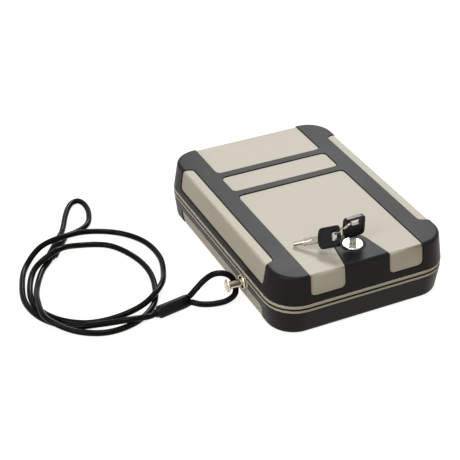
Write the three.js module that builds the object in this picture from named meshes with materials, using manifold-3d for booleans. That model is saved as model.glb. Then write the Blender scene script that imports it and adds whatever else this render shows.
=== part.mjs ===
// Portable car safe: a two-part clamshell case with moulded skins, a cam lock with two keys on a ring,
// and a looped tether cable that hangs on a sliding post in the left wall.
// Millimetres. X to the right, -Y towards the lock, +Z up. The origin is on the underside, at the
// centre of the case's outline.
import * as THREE from 'three';
import { mergeVertices } from 'three/addons/utils/BufferGeometryUtils.js';
import Module from 'manifold-3d';

const wasm = await Module();
wasm.setup();

// Case outline, measured round the two rims
const caseWidth = 178;
const caseLength = 250;
const cornerRadius = 29;
const cornerSteps = 6;

// Heights of the two halves
const baseRimTop = 27.4;
const seamGap = 1.2;
const rimHeight = 3.2;
const lidRise = 30.75;
const lidRimBottom = baseRimTop + seamGap;
const lidTop = lidRimBottom + lidRise;

// How far each skin's wall stands in from the rim, at the rim and where its edge curve starts
const lidWallInset = 0.2;
const lidFaceInset = 3.7;
const lidEdgeRadius = 3.5;
const baseWallInset = 0.2;
const baseFaceInset = 2.8;
const baseEdgeRadius = 4;
const edgeSteps = 4;
const rimEdgeRound = 0.5;

// Layers of a wall, from the outside in
const skinThickness = 2;
const fitGap = 0.3;
const panelDrop = 1;
const wallThickness = 1.6;
const coreDepth = skinThickness + fitGap;
const innerDepth = coreDepth + wallThickness;

// Raised stripes of the skins and the painted panels between them
const stripeInnerX = caseWidth / 2 - 32.5;
const stripeOuterX = caseWidth / 2 - 14.1;
const backPanelStart = 68.25;
const namePanelEnd = 59.05;
const namePanelStart = 31.6;
const frontPanelEnd = 22.4;
const panelCorner = 5;
const lidPanelFoot = 10.2;
const sidePanelFront = 35 - caseLength / 2;
const sidePanelBack = caseLength / 2 - 37;
const sidePanelSlant = 5;
const basePanelHead = 15.5;
const baseSlantDrop = 3;
const undersidePanelReach = caseLength / 2 - 17;

// Lock tab of the lid's skin, a round end that widens towards the front edge
const lockSetback = 31;
const lockY = lockSetback - caseLength / 2;
const tabRadius = 17.3;
const tabFootHalf = 22.7;
const tabFootY = 5 - caseLength / 2;
const dishRadius = 13;
const dishDepth = 0.8;

// Standing lip inside the seam
const lipHeight = 3;
const lipThickness = 1.4;

// Hinges at the back
const hingeOffset = 4.4;
const knuckleRadius = 3.4;
const hingePinRadius = 1.5;
const hingeClearance = 0.25;
const knuckleLength = 11.6;
const knuckleGap = 0.4;
const hingeCentreX = 42;
const hingeArmHeight = 7;
const pinHeadRadius = 2.4;
const pinHeadThickness = 1;

// Cam lock
const lockFaceRadius = 9.5;
const lockFaceStand = 1.15;
const lockFaceRound = 0.9;
const lockBodyRadius = 8.25;
const lockBodyLength = 20.1;
const plugCapRadius = 7.3;
const plugCapThickness = 1.5;
const plugCapSink = 0.25;
const plugRadius = 5.9;
const plugTailLength = 0.9;
const camSeatSize = 6;
const camThickness = 2;
const camReach = 21;
const camHubRadius = 7;
const camTipWidth = 10;
const camScrewRadius = 1.5;
const camScrewLength = 6;
const camScrewHeadRadius = 4;
const camScrewHeadThickness = 2;
const lockNutFlats = 22;
const lockNutThickness = 4;
const doublerWidth = 40;
const doublerLength = 34;
const doublerThickness = 1.5;

// Striker on the front wall of the base, whose lip the cam turns under
const strikerWidth = 28;
const strikerThickness = 1.5;
const strikerBottom = 13;
const strikerLipReach = 8.1;
const strikerWallGap = 2.6;
const strikerScrewSpacing = 16;
const strikerScrewHeight = 17.5;
const smallScrewRadius = 1.5;
const smallScrewHeadRadius = 3;
const smallScrewHeadThickness = 1.6;
const screwBossRadius = 3.6;
const screwDepth = 1.9;

// Sliding post for the cable, along X through the left wall
const postY = -56;
const postZ = 21.3;
const postRadius = 3.5;
const postHeadRadius = 5.8;
const postHeadThickness = 2.5;
const postHeadRound = 0.9;
const postGrip = 12.2;
const postTail = 2.3;
const collarRadius = 6.6;
const collarStand = 2.8;
const collarGrooveStart = 2.1;
const collarGrooveEnd = 3.1;
const collarGrooveDepth = 0.9;
const collarTubeRadius = 4.7;
const collarSeatInset = 3.4;
const postBossRadius = 6;
const postBossStand = 2.7;
const postNutFlats = 12;
const postNutThickness = 4;
const clipRadius = 4.9;
const clipThickness = 1;
const clipGrooveDepth = 0.9;
const clipOpening = 3.6;

// Keys, each drawn with its tip at the origin and its bow up +Z
const bladeLength = 23;
const stemLength = 8;
const stemWidth = 7.2;
const bladeThickness = 1.6;
const barrelRadius = 1.9;
const barrelBoreRadius = 1.05;
const barrelBoreDepth = 6;
const bitStart = 9;
const bitTooth = 2;
const bitNarrow = 2.7;
const tangLength = 7;
const tangWidth = 5;
const bowWidth = 20.7;
const bowHeight = 20.3;
const bowThickness = 3.6;
const bowCorner = 3.6;
const bowBelly = 1.6;
const bowRimWidth = 2.2;
const bowRimHeight = 0.45;
const ringSlotWidth = 11.5;
const ringSlotHeight = 5;
const ringSlotAbove = 15.1;
const keyInsertion = 15.5;
const spareAxis = new THREE.Vector3(0.773, -0.543, 0.32).normalize();
const spareWidthWay = new THREE.Vector3(0.42, 0.83, 0.37);
const ringRadius = 9;
const ringWireRadius = 0.6;
const ringFromSlot = new THREE.Vector3(-10.35, 0.91, -4.45);
const spareSlotFromRing = new THREE.Vector3(-8.635, -0.853, -5.743);
const ringNormal = new THREE.Vector3(0.352, -0.628, -0.684).normalize();

// Foam linings
const baseFoamThickness = 8;
const lidFoamThickness = 6;
const foamInset = 2.4;
const foamCorner = 24;
const foamWaveHeight = 3;
const foamWaveLength = 30;
const foamWaveSteps = 4;
const foamLockNotch = 48;
const foamNotchReach = 26;

// Tether cable with an eye at each end, each closed by an oval pressed sleeve
const cableRadius = 2.6;
const cableSides = 8;
const sleeveWidth = 11.5;
const sleeveHeight = 7.6;
const sleeveNeckLength = 3;
const sleeveMouthTaper = 6;
const strandOffset = 2.85;
const nearSleeveTail = new THREE.Vector3(-172, -47.3, 5.9);
const nearSleeveMouth = new THREE.Vector3(-138.5, -41.7, 6.1);
const nearSleeveTilt = 62;
const farSleeveTail = new THREE.Vector3(-226.7, 79.5, 3.9);
const farSleeveMouth = new THREE.Vector3(-206.6, 107, 3.9);
const farSleeveTilt = 0;
const runSteps = 96;
const eyeSteps = 22;

// Where the free cable lies, from the near sleeve to the far one
const runPoints = [
  [-172.3, -47.3, 5.9], [-177.9, -48.3, 5.9], [-194.5, -49.5, 9], [-223, -40, 6],
  [-245, -29, 3], [-264, -7, 3], [-270.5, 21, 3], [-265, 49, 3],
  [-253, 75.5, 3.5], [-231.5, 92.5, 10], [-203.5, 97.5, 11.5], [-175.5, 102, 5.5],
  [-150.5, 90, 3], [-135.5, 66, 3], [-132.5, 37.5, 3], [-140, 10, 4.5],
  [-153.5, -15, 9.5], [-176.5, -31, 7], [-204, -34, 3.5], [-231.5, -29.5, 3],
  [-253.5, -11.5, 3], [-264, 14.5, 3], [-260, 41.5, 3], [-246, 66, 6.5],
  [-220, 76.5, 12.5], [-194.5, 86, 4.5], [-169.5, 76, 3], [-155, 49.5, 3],
  [-150.5, 21.5, 3], [-155.5, -6.5, 3], [-168, -32, 3], [-191.5, -48, 3],
  [-220, -50, 3], [-245, -36.5, 4], [-263, -16, 10], [-261.5, 12.5, 8.5],
  [-253.5, 39.5, 3.5], [-240, 64.5, 3], [-230.2, 74.7, 3.9], [-226.9, 79.3, 3.9],
];

// The eye on the post: up from the sleeve, round behind the shaft and back along the ground
const nearEyePoints = [
  [-130, -40.9, 15], [-121.5, -40.8, 22.3], [-113.4, -41.5, 26.8], [-105.5, -43.8, 27.6],
  [-99, -46.6, 25], [-95.8, -48.6, 20.5], [-95.1, -52, 14.7], [-97.5, -55.5, 9.4],
  [-105, -55.8, 5], [-116, -53.2, 3.1], [-127.5, -48.5, 3],
];

// The free eye, flat on the ground
const farEyePoints = [
  [-203.4, 117, 3], [-197.5, 128, 3], [-190.5, 143, 3], [-182.5, 157, 3], [-175.5, 164.5, 3],
  [-169.5, 165.5, 3], [-166, 160, 3], [-165.5, 147, 3], [-168.5, 134, 3], [-174.5, 121.5, 3],
  [-182.5, 115, 3], [-192, 111.3, 3],
];

// Finishes
const finishes = {
  paint: { color: 0xcbc5b2, roughness: 0.55, metalness: 0 },
  skin: { color: 0x3b3b3c, roughness: 0.6, metalness: 0 },
  foam: { color: 0x2b2b2d, roughness: 0.95, metalness: 0 },
  zinc: { color: 0xb9b6ad, roughness: 0.35, metalness: 1 },
  chrome: { color: 0xe6e6e4, roughness: 0.12, metalness: 1 },
  nickel: { color: 0xcfc9bb, roughness: 0.25, metalness: 1 },
  keyPlastic: { color: 0x17181a, roughness: 0.35, metalness: 0 },
  cable: { color: 0x0c0c0d, roughness: 0.25, metalness: 0 },
};

const group = new THREE.Group();

function add(name, finish, solid, place = new THREE.Matrix4()) {
  const mesh = new THREE.Mesh(toGeometry(solid), new THREE.MeshStandardMaterial(finishes[finish]));
  mesh.name = name;
  place.decompose(mesh.position, mesh.quaternion, mesh.scale);
  group.add(mesh);
}

// Solids from geometry, and back

function signedVolume(points, faces) {
  const a = new THREE.Vector3();
  const b = new THREE.Vector3();
  const c = new THREE.Vector3();
  let total = 0;
  for (let i = 0; i < faces.length; i += 3) {
    a.fromArray(points, 3 * faces[i]);
    b.fromArray(points, 3 * faces[i + 1]);
    c.fromArray(points, 3 * faces[i + 2]);
    total += a.dot(b.cross(c)) / 6;
  }
  return total;
}

function toSolid(source) {
  const bare = new THREE.BufferGeometry();
  bare.setAttribute('position', source.getAttribute('position'));
  bare.setIndex(source.getIndex());
  const welded = mergeVertices(bare, 1e-4);
  const points = new Float32Array(welded.getAttribute('position').array);
  const faces = [];
  const index = welded.getIndex().array;
  for (let i = 0; i < index.length; i += 3) {
    const [a, b, c] = [index[i], index[i + 1], index[i + 2]];
    if (a !== b && b !== c && c !== a) faces.push(a, b, c);
  }
  if (signedVolume(points, faces) < 0) faces.reverse();
  const mesh = new wasm.Mesh({ numProp: 3, vertProperties: points, triVerts: new Uint32Array(faces) });
  return new wasm.Manifold(mesh);
}

function toGeometry(solid) {
  const mesh = solid.getMesh();
  const geometry = new THREE.BufferGeometry();
  geometry.setAttribute('position', new THREE.BufferAttribute(new Float32Array(mesh.vertProperties), 3));
  geometry.setIndex(new THREE.BufferAttribute(new Uint32Array(mesh.triVerts), 1));
  return geometry;
}

// Closed skin over a row of rings that all have the same number of points
function loft(rings) {
  const count = rings[0].length;
  const points = rings.flat().flatMap((p) => [p.x, p.y, p.z]);
  const faces = [];
  for (let r = 0; r + 1 < rings.length; r += 1) {
    for (let i = 0; i < count; i += 1) {
      const j = (i + 1) % count;
      const low = r * count;
      const high = low + count;
      faces.push(low + i, low + j, high + j, low + i, high + j, high + i);
    }
  }
  const last = (rings.length - 1) * count;
  for (let i = 1; i + 1 < count; i += 1) {
    faces.push(0, i + 1, i, last, last + i, last + i + 1);
  }
  const geometry = new THREE.BufferGeometry();
  geometry.setAttribute('position', new THREE.BufferAttribute(new Float32Array(points), 3));
  geometry.setIndex(faces);
  return toSolid(geometry);
}

function extrude(shape, depth, curveSegments = 6) {
  return new THREE.ExtrudeGeometry(shape, { depth, bevelEnabled: false, curveSegments });
}

// A shape drawn in plan, filled between two heights
function prismZ(shape, low, high, curveSegments) {
  return toSolid(extrude(shape, high - low, curveSegments).translate(0, 0, low));
}

// A shape drawn with its x along +X and its y along +Z, filled between two values of y
function prismY(shape, low, high, curveSegments) {
  return toSolid(extrude(shape, high - low, curveSegments).rotateX(Math.PI / 2).translate(0, high, 0));
}

// A shape drawn with its x along +Y and its y along +Z, filled between two values of x
function prismX(shape, low, high, curveSegments) {
  const turned = extrude(shape, high - low, curveSegments).rotateX(Math.PI / 2).rotateZ(Math.PI / 2);
  return toSolid(turned.translate(low, 0, 0));
}

function box(low, high) {
  const size = new THREE.Vector3().subVectors(high, low);
  const middle = new THREE.Vector3().addVectors(low, high).multiplyScalar(0.5);
  return toSolid(new THREE.BoxGeometry(size.x, size.y, size.z).translate(middle.x, middle.y, middle.z));
}

// A profile of [radius, height] pairs turned about Z
function turned(profile, segments = 24) {
  const points = profile.map(([radius, height]) => new THREE.Vector2(radius, height));
  return toSolid(new THREE.LatheGeometry(points, segments).rotateX(Math.PI / 2));
}

function rod(radius, low, high, segments = 24) {
  return turned([[0, low], [radius, low], [radius, high], [0, high]], segments);
}

// Turns something made along +Z so that its +Z points along +X or +Y, at a place
const alongX = (solid, x, y, z) => solid.rotate([0, 90, 0]).translate([x, y, z]);
const alongY = (solid, x, y, z) => solid.rotate([-90, 0, 0]).translate([x, y, z]);

const joined = (solids) => solids.reduce((all, next) => all.add(next));

// A polygon of [x, y, corner radius] points
function roundedShape(corners) {
  const shape = new THREE.Shape();
  const count = corners.length;
  corners.forEach(([x, y, radius], i) => {
    const here = new THREE.Vector2(x, y);
    const before = new THREE.Vector2(...corners[(i + count - 1) % count]);
    const after = new THREE.Vector2(...corners[(i + 1) % count]);
    const wayIn = before.sub(here).normalize();
    const wayOut = after.sub(here).normalize();
    const half = Math.acos(THREE.MathUtils.clamp(wayIn.dot(wayOut), -1, 1)) / 2;
    const back = radius / Math.tan(half);
    const start = here.clone().addScaledVector(wayIn, back);
    const end = here.clone().addScaledVector(wayOut, back);
    if (i === 0) shape.moveTo(start.x, start.y);
    else shape.lineTo(start.x, start.y);
    if (radius > 0) shape.quadraticCurveTo(x, y, end.x, end.y);
  });
  shape.closePath();
  return shape;
}

function roundedBox(x0, y0, x1, y1, radius) {
  return roundedShape([[x0, y0, radius], [x1, y0, radius], [x1, y1, radius], [x0, y1, radius]]);
}

function hexagon(flats) {
  const shape = new THREE.Shape();
  for (let i = 0; i < 6; i += 1) {
    const angle = (i * Math.PI) / 3;
    const reach = flats / Math.sqrt(3);
    const point = [reach * Math.cos(angle), reach * Math.sin(angle)];
    if (i === 0) shape.moveTo(...point);
    else shape.lineTo(...point);
  }
  shape.closePath();
  return shape;
}

function hexNut(flats, thickness, boreRadius) {
  return prismZ(hexagon(flats), 0, thickness).subtract(rod(boreRadius, -1, thickness + 1));
}

// Case halves

// The case's outline drawn in by an inset, at a height
function outline(inset, z) {
  const ring = [];
  const radius = cornerRadius - inset;
  const centres = [[1, -1, -90], [1, 1, 0], [-1, 1, 90], [-1, -1, 180]];
  for (const [sx, sy, start] of centres) {
    const cx = sx * (caseWidth / 2 - cornerRadius);
    const cy = sy * (caseLength / 2 - cornerRadius);
    for (let i = 0; i <= cornerSteps; i += 1) {
      const angle = THREE.MathUtils.degToRad(start + (90 * i) / cornerSteps);
      ring.push(new THREE.Vector3(cx + radius * Math.cos(angle), cy + radius * Math.sin(angle), z));
    }
  }
  return ring;
}

const lidHalf = {
  up: 1,
  rimEnd: lidRimBottom + rimHeight,
  face: lidTop,
  wallInset: lidWallInset,
  faceInset: lidFaceInset,
  edgeRadius: lidEdgeRadius,
};
const baseHalf = {
  up: -1,
  rimEnd: baseRimTop - rimHeight,
  face: 0,
  wallInset: baseWallInset,
  faceInset: baseFaceInset,
  edgeRadius: baseEdgeRadius,
};

// How far the outside of a half's wall stands in from the rim at a height
function wallInsetAt(half, z) {
  const edgeStart = half.face - half.up * half.edgeRadius;
  const share = (z - half.rimEnd) / (edgeStart - half.rimEnd);
  return half.wallInset + share * (half.faceInset - half.wallInset);
}

// The solid block inside a half's outer surface, set in by a depth on its walls and on its face
function block(half, depth, faceDepth, from) {
  const radius = Math.max(half.edgeRadius - depth, 0.6);
  const face = half.face - half.up * faceDepth;
  const arcStart = face - half.up * radius;
  const rings = [outline(wallInsetAt(half, from) + depth, from)];
  for (let i = 0; i <= edgeSteps; i += 1) {
    const angle = (i / edgeSteps) * (Math.PI / 2);
    const inset = half.faceInset + depth + radius * (1 - Math.cos(angle));
    rings.push(outline(inset, arcStart + half.up * radius * Math.sin(angle)));
  }
  return loft(rings);
}

// A rim: the flange that frames the mouth of each half
function rimBlock(low, high) {
  return loft([
    outline(rimEdgeRound, low),
    outline(0, low + rimEdgeRound),
    outline(0, high - rimEdgeRound),
    outline(rimEdgeRound, high),
  ]);
}

const beyond = caseLength;
const lidPanelLow = lidHalf.rimEnd + lidPanelFoot - rimHeight;
const lidPlanFrom = lidTop - lidEdgeRadius - panelCorner;
const lidWallTo = lidTop - lidEdgeRadius - fitGap;
const basePlanTo = baseEdgeRadius + 2;
const baseWallFrom = baseEdgeRadius + fitGap;

// The lock tab in plan, drawn in by an amount: a round end with two tangents to its foot
function tabShape(less) {
  const radius = tabRadius - less;
  const foot = new THREE.Vector2(tabFootHalf - less, tabFootY - lockY);
  const lean = Math.atan2(foot.y, foot.x) + Math.acos(radius / foot.length());
  const shape = new THREE.Shape();
  shape.moveTo(foot.x, -beyond);
  shape.lineTo(foot.x, lockY + foot.y);
  shape.absarc(0, lockY, radius, lean, Math.PI - lean, false);
  shape.lineTo(-foot.x, lockY + foot.y);
  shape.lineTo(-foot.x, -beyond);
  shape.closePath();
  return shape;
}

// Side panels seen from above, with their ends slanting out to the wall
function sidePlan(side, more, front, back) {
  const inner = stripeOuterX - more;
  const turn = caseWidth / 2 - lidFaceInset;
  const corners = [
    [inner, front + sidePanelSlant - more, panelCorner],
    [turn, front - more, 0],
    [beyond, front - more, 0],
    [beyond, back + more, 0],
    [turn, back + more, 0],
    [inner, back - sidePanelSlant / 2 + more, panelCorner],
  ];
  const placed = corners.map(([x, y, r]) => [side * x, y, r]);
  return roundedShape(side > 0 ? placed : placed.reverse());
}

// How far a panel's cutting solid reaches in through the wall, and where it starts on each side
const panelReach = 12;
const sideStart = (side) => side * (caseWidth / 2 - panelReach) - (side < 0 ? beyond : 0);

// A panel's outline on a wall, with round corners at its foot and a square head
function wallFace(x0, low, x1, high, corner) {
  return roundedShape([[x0, low, corner], [x1, low, corner], [x1, high, 0], [x0, high, 0]]);
}

// Every panel of the lid as one cutting solid, grown by an amount
function lidPanels(more) {
  const low = lidPanelLow - more;
  const corner = panelCorner + more;
  const x = stripeInnerX + more;
  const wallTo = lidWallTo + more;
  const plan = (y0, y1) => prismZ(roundedBox(-x, y0, x, y1, corner), lidPlanFrom - more, lidTop + 5);
  const frontPlan = plan(-beyond, frontPanelEnd + more).subtract(prismZ(tabShape(more), 0, lidTop + 9, 16));
  const pieces = [
    frontPlan,
    plan(namePanelStart - more, namePanelEnd + more),
    plan(backPanelStart - more, beyond),
    prismY(wallFace(-x, low, x, wallTo, corner), caseLength / 2 - panelReach, beyond),
  ];
  for (const side of [-1, 1]) {
    const [x0, x1] = [side * (tabFootHalf - more), side * x].sort((a, b) => a - b);
    pieces.push(prismY(wallFace(x0, low, x1, wallTo, corner), -beyond, panelReach - caseLength / 2));
    const topPlan = sidePlan(side, more, sidePanelFront, sidePanelBack);
    pieces.push(prismZ(topPlan, lidPlanFrom - more, lidTop + 5));
    const sideFace = wallFace(sidePanelFront - more, low, sidePanelBack + more, wallTo, corner);
    pieces.push(prismX(sideFace, 0, beyond).translate([sideStart(side), 0, 0]));
  }
  return joined(pieces);
}

// Every panel of the base: one along each side, wrapped under, and three in the underside
function basePanels(more) {
  const x = stripeInnerX + more;
  const head = basePanelHead + more;
  const corner = panelCorner + more;
  const front = sidePanelFront - more;
  const back = sidePanelBack + more;
  const plan = (y0, y1) => prismZ(roundedBox(-x, y0, x, y1, corner), -5, basePlanTo + more);
  const pieces = [
    plan(-undersidePanelReach - more, frontPanelEnd + more),
    plan(namePanelStart - more, namePanelEnd + more),
    plan(backPanelStart - more, undersidePanelReach + more),
  ];
  const sideFace = roundedShape([
    [front + baseSlantDrop, baseWallFrom - more, 0],
    [back - baseSlantDrop, baseWallFrom - more, 0],
    [back, head, corner],
    [front, head, corner],
  ]);
  for (const side of [-1, 1]) {
    pieces.push(prismX(sideFace, 0, beyond).translate([sideStart(side), 0, 0]));
    const underPlan = sidePlan(side, more, sidePanelFront + baseSlantDrop, sidePanelBack - baseSlantDrop);
    pieces.push(prismZ(underPlan, -5, basePlanTo + more));
  }
  return joined(pieces);
}

const lidCore = block(lidHalf, coreDepth, coreDepth, lidRimBottom);
const lidInside = block(lidHalf, innerDepth, innerDepth, lidRimBottom - 1);
const baseCore = block(baseHalf, coreDepth, coreDepth, baseRimTop);
const baseInside = block(baseHalf, innerDepth, innerDepth, baseRimTop + 1);

// Inside face of a wall at a height, as a distance from the case's middle
const frontInside = (half, z) => -(caseLength / 2 - wallInsetAt(half, z) - innerDepth);
const leftInside = (half, z) => -(caseWidth / 2 - wallInsetAt(half, z) - innerDepth);
const lidCeiling = lidTop - innerDepth;
const baseFloor = innerDepth;

// Hinges: two knuckles on the base and one on the lid at each, with a headed pin

const hingeY = caseLength / 2 + hingeOffset;
const hingeZ = baseRimTop + seamGap / 2;
const knucklePitch = knuckleLength + knuckleGap;

// A knuckle with the arm that joins it to a rim: up is 1 for the lid and -1 for the base
function knuckle(x, up) {
  const barrel = alongX(rod(knuckleRadius, -knuckleLength / 2, knuckleLength / 2), x, hingeY, hingeZ);
  const rimFace = hingeZ + (up * seamGap) / 2;
  const [low, high] = [rimFace, rimFace + up * hingeArmHeight].sort((a, b) => a - b);
  const root = caseLength / 2 - lidWallInset - skinThickness;
  const top = up > 0 ? low : high;
  const arm = roundedShape([
    [root, top, 0],
    [hingeY, top, 0],
    [hingeY + knuckleRadius * 0.9, hingeZ + up * 1.5, 0],
    [root, up > 0 ? high : low, 0],
  ]);
  return barrel.add(prismX(arm, x - knuckleLength / 2, x + knuckleLength / 2));
}

const hingeBore = (x) => alongX(
  rod(hingePinRadius + hingeClearance, -2 * knucklePitch, 2 * knucklePitch, 16), x, hingeY, hingeZ,
);

function hingePin() {
  const half = 1.5 * knuckleLength + knuckleGap;
  return turned([
    [0, -half - fitGap - pinHeadThickness],
    [pinHeadRadius, -half - fitGap - pinHeadThickness],
    [pinHeadRadius, -half - fitGap],
    [hingePinRadius, -half - fitGap],
    [hingePinRadius, half],
    [0, half + 0.6],
  ], 16);
}

for (const [name, side] of [['left', -1], ['right', 1]]) {
  add(`hinge_pin_${name}`, 'zinc', alongX(hingePin(), side * hingeCentreX, hingeY, hingeZ));
}

// Base shell

const collarSeat = -(caseWidth / 2 - collarSeatInset);
const collarFace = -(caseWidth / 2 + collarStand);
const collarRecess = (depth) => alongX(rod(collarRadius + fitGap, -beyond, depth), collarSeat, postY, postZ);
const postBossEnd = leftInside(baseHalf, postZ) + postBossStand;
const strikerBack = frontInside(lidHalf, lidRimBottom + rimHeight) + strikerWallGap;
const screwSeat = strikerBack - fitGap;

function standingLip() {
  const z = baseRimTop - 2;
  const inset = wallInsetAt(lidHalf, baseRimTop + lipHeight) + innerDepth + fitGap;
  const foot = wallInsetAt(baseHalf, z) + innerDepth;
  const outside = loft([
    outline(foot - 0.5, z - 4),
    outline(inset, baseRimTop),
    outline(inset, baseRimTop + lipHeight),
  ]);
  const inside = loft([
    outline(foot + 0.1, z - 5),
    outline(inset + lipThickness, baseRimTop - 1),
    outline(inset + lipThickness, baseRimTop + lipHeight + 1),
  ]);
  return outside.subtract(inside);
}

function screwBoss(x) {
  const root = -(caseLength / 2 - wallInsetAt(baseHalf, strikerScrewHeight) - coreDepth - 0.5);
  const boss = alongY(rod(screwBossRadius, root - screwSeat, 0), x, screwSeat, strikerScrewHeight);
  const hole = alongY(rod(smallScrewRadius + fitGap, -screwDepth, 1, 12), x, screwSeat, strikerScrewHeight);
  return { boss, hole };
}

function baseShell() {
  const panels = block(baseHalf, panelDrop, 0, baseRimTop).intersect(basePanels(0));
  let shell = baseCore.add(panels).add(rimBlock(baseRimTop - rimHeight, baseRimTop));
  for (const side of [-1, 1]) {
    for (const place of [-1, 1]) {
      shell = shell.add(knuckle(side * hingeCentreX + place * knucklePitch, -1));
    }
  }
  shell = shell.subtract(baseInside).add(standingLip());
  shell = shell.subtract(collarRecess(0));
  const postBoss = rod(postBossRadius, 0, postBossEnd - collarSeat);
  shell = shell.add(alongX(postBoss, collarSeat, postY, postZ));
  const bore = rod(collarTubeRadius + fitGap, -5, postBossEnd - collarSeat + 5);
  shell = shell.subtract(alongX(bore, collarSeat, postY, postZ));
  for (const side of [-1, 1]) {
    const { boss, hole } = screwBoss((side * strikerScrewSpacing) / 2);
    shell = shell.add(boss).subtract(hole);
    shell = shell.subtract(hingeBore(side * hingeCentreX));
  }
  return shell;
}

add('base_shell', 'paint', baseShell());

// Base skin

function hingeRelief(up) {
  const pieces = [];
  for (const side of [-1, 1]) {
    for (const place of up > 0 ? [0] : [-1, 1]) {
      const x = side * hingeCentreX + place * knucklePitch;
      const half = knuckleLength / 2 + fitGap;
      const deep = 2 * innerDepth;
      const rimFace = hingeZ + (up * seamGap) / 2;
      const [low, high] = [rimFace, rimFace + up * (hingeArmHeight + 0.5)].sort((a, b) => a - b);
      const corner = new THREE.Vector3(x - half, caseLength / 2 - deep, low);
      pieces.push(box(corner, new THREE.Vector3(x + half, caseLength / 2 + deep, high)));
    }
  }
  return joined(pieces);
}

function baseBumper() {
  return block(baseHalf, 0, 0, baseHalf.rimEnd - fitGap)
    .subtract(block(baseHalf, skinThickness, skinThickness, baseRimTop))
    .subtract(basePanels(fitGap))
    .subtract(collarRecess(innerDepth))
    .subtract(hingeRelief(-1));
}

add('base_bumper', 'skin', baseBumper());

// Lid shell

const lockFaceTop = lidTop + lockFaceStand;
const lockSeat = lidTop - coreDepth + fitGap;
const lockBodyEnd = lockSeat - lockBodyLength;

function lidShell() {
  const panels = block(lidHalf, panelDrop, panelDrop, lidRimBottom).intersect(lidPanels(0));
  let shell = lidCore.add(panels).add(rimBlock(lidRimBottom, lidHalf.rimEnd));
  for (const side of [-1, 1]) {
    shell = shell.add(knuckle(side * hingeCentreX, 1)).subtract(hingeBore(side * hingeCentreX));
  }
  shell = shell.subtract(lidInside);
  return shell.subtract(rod(lockBodyRadius + fitGap, lidCeiling - 5, lidTop + 5).translate([0, lockY, 0]));
}

add('lid_shell', 'paint', lidShell());

// Lid skin, with a shallow dish round the lock

function lidBumper() {
  const dish = turned([
    [0, lidTop - dishDepth],
    [lockFaceRadius + fitGap, lidTop - dishDepth],
    [dishRadius, lidTop + 0.01],
    [dishRadius, lidTop + 5],
    [0, lidTop + 5],
  ], 32);
  const hole = rod(lockFaceRadius + fitGap, lockBodyEnd, lidTop + 5, 32);
  return block(lidHalf, 0, 0, lidHalf.rimEnd + fitGap)
    .subtract(block(lidHalf, skinThickness, skinThickness, lidRimBottom))
    .subtract(lidPanels(fitGap))
    .subtract(dish.add(hole).translate([0, lockY, 0]))
    .subtract(hingeRelief(1));
}

add('lid_bumper', 'skin', lidBumper());

// Cam lock

const plugTop = lockFaceTop - plugCapSink;
const plugEnd = lockBodyEnd - plugTailLength;
const camTop = plugEnd - fitGap;
const camBottom = camTop - camThickness;
const keyTipZ = lockFaceTop - keyInsertion;

function lockHousing() {
  const bore = plugRadius + fitGap;
  const capBore = plugCapRadius + fitGap;
  const capFloor = plugTop - plugCapThickness - fitGap;
  return turned([
    [bore, lockBodyEnd],
    [lockBodyRadius, lockBodyEnd],
    [lockBodyRadius, lockSeat],
    [lockFaceRadius, lockSeat],
    [lockFaceRadius, lockFaceTop - lockFaceRound],
    [lockFaceRadius - 0.3 * lockFaceRound, lockFaceTop - 0.3 * lockFaceRound],
    [lockFaceRadius - lockFaceRound, lockFaceTop],
    [capBore, lockFaceTop],
    [capBore, capFloor],
    [bore, capFloor],
    [bore, lockBodyEnd],
  ], 32).translate([0, lockY, 0]);
}

add('lock_housing', 'chrome', lockHousing());

function keyway() {
  const width = stemWidth / 2 + fitGap;
  const thick = bladeThickness / 2 + fitGap;
  const low = keyTipZ - 0.6;
  const slot = box(new THREE.Vector3(-width, -thick, low), new THREE.Vector3(width, thick, plugTop + 2));
  return slot.add(rod(barrelRadius + fitGap, low, plugTop + 2, 16));
}

function lockPlug() {
  const capBottom = plugTop - plugCapThickness;
  const body = turned([
    [0, plugEnd],
    [plugRadius, plugEnd],
    [plugRadius, capBottom],
    [plugCapRadius, capBottom],
    [plugCapRadius, plugTop],
    [0, plugTop],
  ], 32);
  const half = camSeatSize / 2;
  const seatLow = new THREE.Vector3(-half, -half, camBottom);
  const seat = box(seatLow, new THREE.Vector3(half, half, plugEnd + 1));
  const threaded = rod(camScrewRadius + fitGap, camBottom - 1, camBottom + camScrewLength + fitGap, 12);
  return body.add(seat).subtract(keyway()).subtract(threaded).translate([0, lockY, 0]);
}

add('lock_plug', 'chrome', lockPlug());

// The cam points along +X while the lock is open
function latchCam() {
  const half = camTipWidth / 2;
  const arm = roundedBox(0, -half, camReach, half, 2);
  const hub = rod(camHubRadius, camBottom, camTop);
  const hole = camSeatSize / 2 + fitGap;
  const holeLow = new THREE.Vector3(-hole, -hole, camBottom - 1);
  return prismZ(arm, camBottom, camTop).add(hub)
    .subtract(box(holeLow, new THREE.Vector3(hole, hole, camTop + 1)))
    .translate([0, lockY, 0]);
}

add('latch_cam', 'zinc', latchCam());

function screw(shankRadius, shankLength, headRadius, headThickness) {
  return turned([
    [0, -headThickness],
    [headRadius * 0.7, -headThickness],
    [headRadius, -headThickness * 0.5],
    [headRadius, 0],
    [shankRadius, 0],
    [shankRadius, shankLength],
    [0, shankLength],
  ], 16);
}

const camScrew = screw(camScrewRadius, camScrewLength, camScrewHeadRadius, camScrewHeadThickness);
add('cam_screw', 'zinc', camScrew.translate([0, lockY, camBottom - fitGap]));

function doublerPlate() {
  const high = lidCeiling - fitGap;
  const plate = roundedBox(-doublerWidth / 2, -doublerLength / 2, doublerWidth / 2, doublerLength / 2, 3);
  return prismZ(plate, high - doublerThickness, high)
    .subtract(rod(lockBodyRadius + fitGap, high - 5, high + 5))
    .translate([0, lockY, 0]);
}

add('lock_doubler_plate', 'zinc', doublerPlate());

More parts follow.
